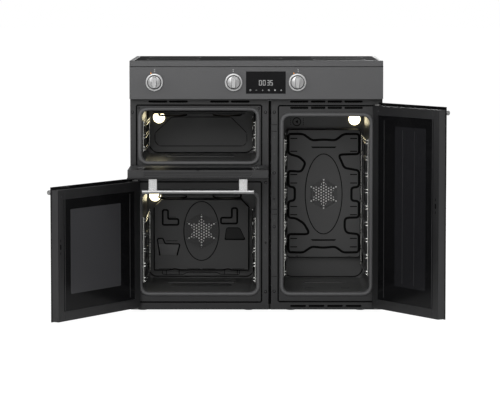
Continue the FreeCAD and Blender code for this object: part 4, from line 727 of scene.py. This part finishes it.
bar_steps = [(0, -0.3), (2, 2.4), (6, 4)]
bars = [on_floor("grill", (-328, -78, 6, 42), 14, bar_steps),
        on_floor("main", (-316, -90, -60, -20), 14, bar_steps)]
for x in (192, 323):
    bars.append(on_floor("tall", (x - 16, x + 16, -143, -133), 4, [(0, -0.3), (1.5, 1.6)]))
piece("floor_bars", bars, stoved_finish("floor_bar", "2a2a2a", "3a3a3a", 0.4, 0.4, 0.1),
      "cabinet")

# ------------------------------------------------------------ fan covers
# Pressed dishes on the back walls with a hexagon and a disc of round holes;
# stamped lines stiffen them, drawn near-black as painted shade in their
# grooves.  The main one has four shaped pressings, the tall one a channel
# that winds round its edge.


def lattice(x, z, inside):
    """Places q a + r b with a straight up and b 60 degrees from it, a pitch apart."""
    pitch, reach = 10.7, range(-6, 7)
    a, b = np.array((0, pitch)), np.array((pitch * math.cos(math.pi / 6), pitch / 2))
    return [q * a + r * b + (x, z) for q in reach for r in reach
            if inside(q, r, np.linalg.norm(q * a + r * b))]


def pierced_dish(outline, holes, radius=2.9, sides=12):
    """Rounded walls up to a flat face, with the holes left out of its triangles.

    The face is a constrained triangulation of its rim and many-sided holes; a
    triangle whose middle lies within 0.97 radius of a hole's centre is dropped."""
    depth = OVEN_BACK - COVER_FACE
    walls = stacked(outline, [(0, 0), (0, depth - 4), (0.4, depth - 1.8), (1.3, depth - 0.6),
                              (3, depth)], (0, OVEN_BACK, 0), caps=False)
    rim = walls[0][-len(outline):][:, (0, 2)]
    flat = [Vector(spot) for spot in rim]
    edges = [(i, (i + 1) % len(rim)) for i in range(len(rim))]
    for hole in holes:
        start = len(flat)
        flat += [Vector(spot) for spot in circle(radius, sides, hole)]
        edges += [(start + i, start + (i + 1) % sides) for i in range(sides)]
    spots, _, faces, *_ = geometry.delaunay_2d_cdt(flat, edges, [], 1, 1e-5)
    spots = np.array([tuple(spot) for spot in spots])
    faces = np.array(faces)
    middle = spots[faces].mean(axis=1)
    away = np.linalg.norm(middle[:, None] - np.array(holes)[None], axis=2).min(axis=1)
    kept = [tuple(int(corner) for corner in face) for face in faces[away > radius * 0.97]]
    return walls, (at_front(spots, COVER_FACE), kept)


def thicken(made, thickness):
    """Sheet of one thickness, added on the side away from the front; the holes'
    edges stay sharp, so the flat face shades flat."""
    work = bmesh.new()
    work.from_mesh(made.data)
    for edge in work.edges:
        edge.smooth = edge.smooth and not edge.is_boundary
    work.to_mesh(made.data)
    work.free()
    solid = made.modifiers.new("sheet", "SOLIDIFY")
    solid.thickness, solid.offset = thickness * MM, -1


cover_enamel = stoved_finish("cover_enamel", "3b3b3b", "4c4c4b", 0.4, 0.36, 0.1)
main_outline = rounded([(-382.75, 101), (-25.75, 101), (-25.75, 338), (-55.75, 368),
                        (-352.75, 368), (-382.75, 338)], 4, steps=3)
main_holes = lattice(*MAIN_FAN, lambda q, r, away: max(abs(q), abs(r), abs(q + r)) <= 6)
tall_outline = rounded(window(113.5, 392.5, 148, 631), 14, steps=4)
tall_holes = lattice(*TALL_FAN, lambda q, r, away: away <= 55.5)
for name, outline, holes in (("main", main_outline, main_holes),
                             ("tall", tall_outline, tall_holes)):
    cover = piece(f"{name}_pierced_cover", pierced_dish(outline, holes), cover_enamel,
                  "cabinet", [f"{name}_fan_cover"], closed=False, sharp=9)
    thicken(cover, 1.2)

lines = []


def oval(x, z, wide, high):
    """An ellipse x + a cos t, z + b sin t, as a slim stamped line, near-black: painted shade in
    its groove.
    """
    turn = np.arange(64) * math.tau / 64
    edge = np.column_stack([x + wide / 2 * np.cos(turn), z + high / 2 * np.sin(turn)])
    lines.append(carried(bead(3.4, 0.9), at_front(edge, COVER_FACE), FRONT, True))


def moved(corners, centre):
    """Corners given from a fan's centre, as (x, z) in the frame."""
    return (np.array(corners, float) + centre).tolist()


oval(*MAIN_FAN, 132, 222)
oval(*TALL_FAN, 138, 300)
# Two hooked shapes, an open bucket and a wedge in the main cover.
for hook in ([(-145, 79), (-125, 79), (-125, 45), (-86, 45), (-86, 23), (-145, 23)],
             [(114, 86), (134, 86), (134, 28), (73, 28), (73, 50), (114, 50)]):
    line(moved(hook, MAIN_FAN), COVER_FACE, 6.8, 1.3, 7)
line([(-360, 157), (-370, 220), (-348.5, 222), (-341, 201), (-285, 200), (-296, 157)],
     COVER_FACE, 5.0, 1.2, 7, False)
wedge_outline = [(-110, 261), (-62, 261), (-41, 218), (-117, 218)]
line(wedge_outline, COVER_FACE, 2.6, 0.9, 8)
line([(-114, 224), (-116, 217.5), (-42, 217.5), (-45, 224)], COVER_FACE, 5.5, 1.1, 5, False)
for x0, x1, z in ((-324, -300, 301), (-336, -294, 212), (-364, -318, 106.5),
                  (-257, -209, 106.5), (-201, -152, 106.5), (-89, -43, 106.5)):
    lines.append(slab(x0, x1, z - 1, z + 1, COVER_FACE, 0.5))
line([(-382, 102), (-322, 102), (-304, 108), (-288, 102.5), (-122, 102.5), (-106, 108),
      (-90, 102), (-27, 102)], COVER_FACE, 4.5, 1.0, 10, False)
for x in (-381, -27.6):
    line([(x, 104), (x, 337)], COVER_FACE, 4.0, 1.0, closed=False)
# The tall cover's channel, from its fan's centre, with short dashes beside it.
channel = [(0, 204), (43, 201), (75, 225), (132, 225), (132, 150), (62, 148), (58, 140),
           (77, 98), (132, 88), (132, 27), (104, 24), (104, -25), (132, -27), (132, -88),
           (87, -89), (79, -97), (79, -130), (87, -146), (132, -151), (132, -219),
           (74, -220), (44, -198), (0, -202), (-44, -198), (-76, -220), (-132, -219),
           (-132, -151), (-61, -151), (-55, -143), (-74, -110), (-104, -91), (-132, -89),
           (-132, -27), (-108, -24), (-108, 25), (-132, 28), (-132, 87), (-88, 84),
           (-79, 91), (-68, 117), (-91, 139), (-132, 151), (-132, 225), (-77, 225),
           (-44, 201)]
line(moved(channel, TALL_FAN), COVER_FACE, 8.6, 1.6, 11)
for up in (208, 160, 73, 41, -47, -78, -167, -199):
    for side in (-112, 112):
        dash = moved([(side - 13, up - 1.6), (side + 13, up + 2)], TALL_FAN)
        (x0, z0), (x1, z1) = dash
        lines.append(slab(x0, x1, z0, z1, COVER_FACE, 0.8))
for up in (175, -173):
    bar = moved([(-42, up - 3), (42, up - 3), (48, up + 3), (-48, up + 3)], TALL_FAN)
    lines.append(stacked(bar, [(0, -0.2), (1, 0.7)], (0, COVER_FACE, 0)))
line(window(116, 390, 150.5, 628.5), COVER_FACE, 2.6, 0.6, 12)
piece("cover_pressings", lines, pressing_shade, "cabinet")
# The wedge is filled darker and the bucket paler than the cover round them.
piece("wedge_pressing", [stacked(rounded(wedge_outline, 8), [(0, -0.2), (0.5, 0.5), (2, 0.7)],
                                 (0, COVER_FACE, 0))],
      stoved_finish("wedge_dark_fill", "131313", "1c1c1c", 0.4, 0.6, 0.1), "cabinet")
bucket_outline = [(-368, 200), (-340, 199), (-289, 199), (-298, 158), (-361, 158)]
piece("bucket_pressing", [stacked(bucket_outline, [(0, -0.2), (0.5, 0.5), (1.2, 0.6)],
                                  (0, COVER_FACE, 0))],
      stoved_finish("bucket_pale_fill", "5a5a5a", "686868", 0.4, 0.4, 0.1), "cabinet")
piece("cover_screws", [screw(x, z, -COVER_FACE, 3.4) for x, z in
                       ((154.4, 621), (349.9, 618), (154.4, 155), (349.9, 155))],
      dark_screw, "cabinet")

# ------------------------------------------------------------------ lamps
# A ribbed glass cap over a small halogen bulb in each cavity.

lamp_glass = lit_finish("lamp_glass", "fff6dc", 0.25, "fff3c8", 4.5)
cap_rings = [(0, 0), (0, 2.4), (0.9, 2.8), (0.4, 3.6), (1.6, 4.2), (1.4, 5), (3.2, 6.2),
             (6, 7.8), (11, 8.8)]
caps = [stacked(circle(21.5, 48), cap_rings, spot)
        for spot in ((-362.5, GRILL_BACK, 674.5), (-378.5, OVEN_BACK, 380.5),
                     (368.5, OVEN_BACK, 666.5))]
piece("ribbed_caps", caps, lamp_glass, "cabinet", ["cavity_lamps"])

# -------------------------------------------------- racks, heating and fans
# Chromed wire ladders stand at the sides; grey tube elements hang under the
# roofs below a black sheet, painted shade in each roof, and rings heat the air
# behind the fan covers.

wire_steel = steel_finish("wire_steel", "c6c6c2", 0.2, (2, 30, 2))


def ladder(mouth, levels, pitch, first, rear, front=-211.5):
    """Posts and paired runners of one cavity: each runner starts at the front
    post by the wall, turns back 12 mm out and ends at the rear post."""
    x0, x1, low, _ = mouth
    base, high = low + first - 11.5, (levels - 1) * pitch + 23
    post_rings = [(0.8, 0), (0, 0.8), (0, high - 0.8), (0.8, high)]
    parts = []
    for near, off in ((x0 + 2.5, x0 + 12), (x1 - 2.5, x1 - 12)):
        for x, y in ((near, front), (off, rear)):
            parts.append(stacked(circle(2.5, 12), post_rings, (x, y, base), *STANDING))
        for step in range(levels):
            for offset in (-5.5, 5.5):
                z = low + first + step * pitch + offset
                path = rounded([(near, front, z), (off, front, z), (off, rear, z)], 6, False, 4)
                parts.append(carried(circle(1.8, 8), path, UP))
    return parts


for name, *sizes in (("grill", 3, 44, 42, 115), ("main", 5, 53.5, 40, 130),
                     ("tall", 9, 59, 64, 130)):
    piece(f"{name}_wire_ladders", ladder(MOUTHS[name], *sizes), wire_steel, "cabinet",
          [f"{name}_side_racks"])


def roof_tube(front, back, wall, level):
    """A tube to and fro in four runs, joined by half circles of the bend's radius."""
    bend, left, right = 49.583, -353.0, -55.5
    spots = [(left, wall)]
    for run, (y, sense) in enumerate(((front + bend, -1), (back - bend, 1), (front + bend, -1))):
        middle = left + (2 * run + 1) * bend
        turn = np.linspace(math.pi, 0, 11)
        spots += list(zip(middle + bend * np.cos(turn), y + sense * bend * np.sin(turn)))
    spots.append((right, wall))
    path = np.column_stack([np.array(spots), np.full(len(spots), level)])
    return carried(circle(3.3, 12), path, UP)


element_steel = steel_finish("element_steel", "35332f", 0.5, (2, 2, 2))
dress(element_steel, "ring_heaters")
piece("roof_tubes", [roof_tube(-161.5, 125, 186.2, 698), roof_tube(-191.5, 140, 201.2, 402)],
      element_steel, "cabinet", ["roof_elements"])
# A black sheet under each roof: painted shade where the roof lies in shadow.
shade_sheet_rings = [(0, 0), (0, 6), (1.5, 8), (4, 8), (5, 6.5)]
shade_sheets = [stacked(window(*edges), shade_sheet_rings, (0, 0, roof), *HANGING)
        for edges, roof in (((-372, -39, -175, 150), 712), ((-340, -64, -170, 150), 416))]
piece("roof_shade_sheets", shade_sheets, stoved_finish("roof_shade_black", "0c0c0c", "141414", 0.3, 0.6, 0.2),
      "cabinet")
dress(steel_finish("fan_steel", "e2e2e0", 0.35, (3, 3, 3), 0.7), "main_fan", "tall_fan")

# ------------------------------------------------------------------ doors
# Each door is a black glass front on a folded metal frame with an inner pane
# that is printed black round its edge.  Bar handles stand on two brackets.

for material, node in (
        (glass_finish("door_glass", "0a0a0b", 0.04, 0.05), "door_glass"),
        (glass_finish("inner_pane", "0e0e0f", 0.1, 0.06, IOR=1.25), "inner_glass"),
        (stoved_finish("door_paint", "1b1b1c", "262627", 0.3, 0.38, 0.08), "door_frame")):
    dress(material, *(f"{name}_{node}" for name in MOUTHS))
bar_steel = steel_finish("bar_steel", "969696", 0.33, (1, 30, 30))
bracket_steel = steel_finish("bracket_steel", "d2d2d2", 0.25, (30, 1, 1))
dress(steel_finish("hinge_steel", "8a8a88", 0.35, (2, 2, 2)), "door_hinges")
dress(steel_finish("catch_steel", "2a2a2a", 0.45, (2, 2, 2)), "door_catches")


def hung(degrees, x):
    """Origin and axes of a side-hung door turned about its upright hinge line."""
    turn = math.radians(degrees)
    along = np.array((math.cos(turn), math.sin(turn), 0))
    return np.array((x, HINGE_Y, 0)), along, np.array(UP), np.array((-along[1], along[0], 0))


# Each door's origin and axes along it, up it and inward; then its bar's two ends
# along it and level up it, and how far inward the bar's axis and outer face lie.
doors = {"main": (*hung(-OPEN_ANGLE, -HINGE_X), 38, 429, 456, -57, -12),
         "tall": (*hung(OPEN_ANGLE, HINGE_X), -334, -38, 726, -57, -12),
         "grill": (np.array((0, -279, 511)), np.array(RIGHT), np.array(FRONT), np.array(UP),
                   -399, -8, 215, -61, -16)}
bar_rings = [(1.2, 0), (0, 1.2), (0, 73), (0.7, 73.6), (0.7, -73.6), (0, -73), (0, -1.2),
             (1.2, 0)]
for name, (place, along, up, inward, start, end, level, axis, face) in doors.items():
    rings = [(inset, run if i < 4 else end - start + run)
             for i, (inset, run) in enumerate(bar_rings)]
    middle = place + along * start + up * level + inward * axis
    piece(f"{name}_round_bar", [stacked(circle(8.2, 32), rings, middle, up, -inward, along)],
          bar_steel, f"{name}_door", [f"{name}_handle_bar"])
    stems = []
    for centre in (start + 38, end - 38):
        root = place + along * centre + up * level + inward * face
        stems.append(stacked(rounded(window(-15, 15, -7, 7), 2.5, steps=3),
                             [(0, 0), (0, 41)], root, along, up, -inward))
    piece(f"{name}_bar_stems", stems, bracket_steel, f"{name}_door",
          [f"{name}_handle_brackets"])


def inner_plate(name, corners, rings, radius=4):
    """A flat piece on a door's inner side: rings of (inset, depth) from the hinge line."""
    place, along, up, inward = doors[name][:4]
    return stacked(rounded(corners, radius), rings, place, along, up, inward)


pane_rings = [(0, 17.9), (0.2, 18.3)]
# The main door's window is a lighter grey than the others: painted light, the white backdrop
# seen through its glass.
for name, edges, rings, radius, tint in (
        ("main", (107, 405, 108, 401), pane_rings, 4,
         glass_finish("window_backdrop_light", "38383a", 0.18, 0.08, IOR=1.3)),
        ("tall", (-305, -122, 108, 672), pane_rings, 4,
         glass_finish("dark_tint", "1b1b1d", 0.14, 0.08, IOR=1.3)),
        ("grill", (-393, -14, 101, 226), [(0, 13.8), (0.3, 15.4)], 12,
         glass_finish("grill_tint", "0d0d0e", 0.3, 0.05, IOR=1.04))):
    piece(f"{name}_door_window", [inner_plate(name, window(*edges), rings, radius)], tint,
          f"{name}_door")
piece("grill_door_liner", [inner_plate("grill", window(-436, 28, 6, 99),
                                       [(0, 13.8), (0.5, 15.4)], 6)],
      stoved_finish("liner_enamel", "343435", "404041", 0.3, 0.42, 0.08), "grill_door")
# Folds of the inner plates, as the edges of slim upright strips.
trims = {"main": [(437, 439.5, 24, 462), (468, 470, 24, 462), (50, 51.5, 60, 430)],
         "tall": [(-346, -343.5, 24, 732), (-375, -373, 24, 732), (-58, -56.5, 60, 690),
                  (-170, -169, 120, 660), (-240, -239, 120, 660)]}
edge_grey = stoved_finish("edge_grey", "2c2c2d", "363637", 0.3, 0.4, 0.1)
for name, strips in trims.items():
    piece(f"{name}_door_folds", [inner_plate(name, window(*strip), [(0, 17.8), (0.3, 19.6)], 0.4)
                                 for strip in strips], edge_grey, f"{name}_door")
# The latch hole's centre and the screws' columns and rows on each inner face.
marks = {"main": (19, 464, 274.6, (80, 460), (40, 448)),
         "tall": (19, -365, 408, (-352, -20), (40, 720)),
         "grill": (15, -203.5, 232, (-420, 13), (14, 196))}
head_rings = [(0, -0.3), (0, 0.3), (0.6, 0.8), (1.7, 1), (2.1, 0.4)]
for name, (face, across, high, columns, rows) in marks.items():
    place, along, up, inward = doors[name][:4]
    hole_rings = [(0, face - 0.3), (0.3, face + 0.3)]
    # Each latch hole and the slots beside it are black plates on the inner face: painted shade
    # in the holes.
    holes = [inner_plate(name, window(across - 4, across + 4, high - 9, high + 9), hole_rings,
                         3.5)]
    if name != "grill":
        for middle in (high - 22, high + 22):
            holes.append(inner_plate(name, window(across - 1.5, across + 1.5, middle - 5,
                                                  middle + 5), hole_rings, 1))
    piece(f"{name}_latch_hole_shade", holes, painted_gap_shade, f"{name}_door")
    heads = [stacked(circle(3.6, 16), head_rings,
                     place + along * column + up * row + inward * face, along, up, inward)
             for column in columns for row in rows]
    piece(f"{name}_door_screws", heads, dark_screw, f"{name}_door")
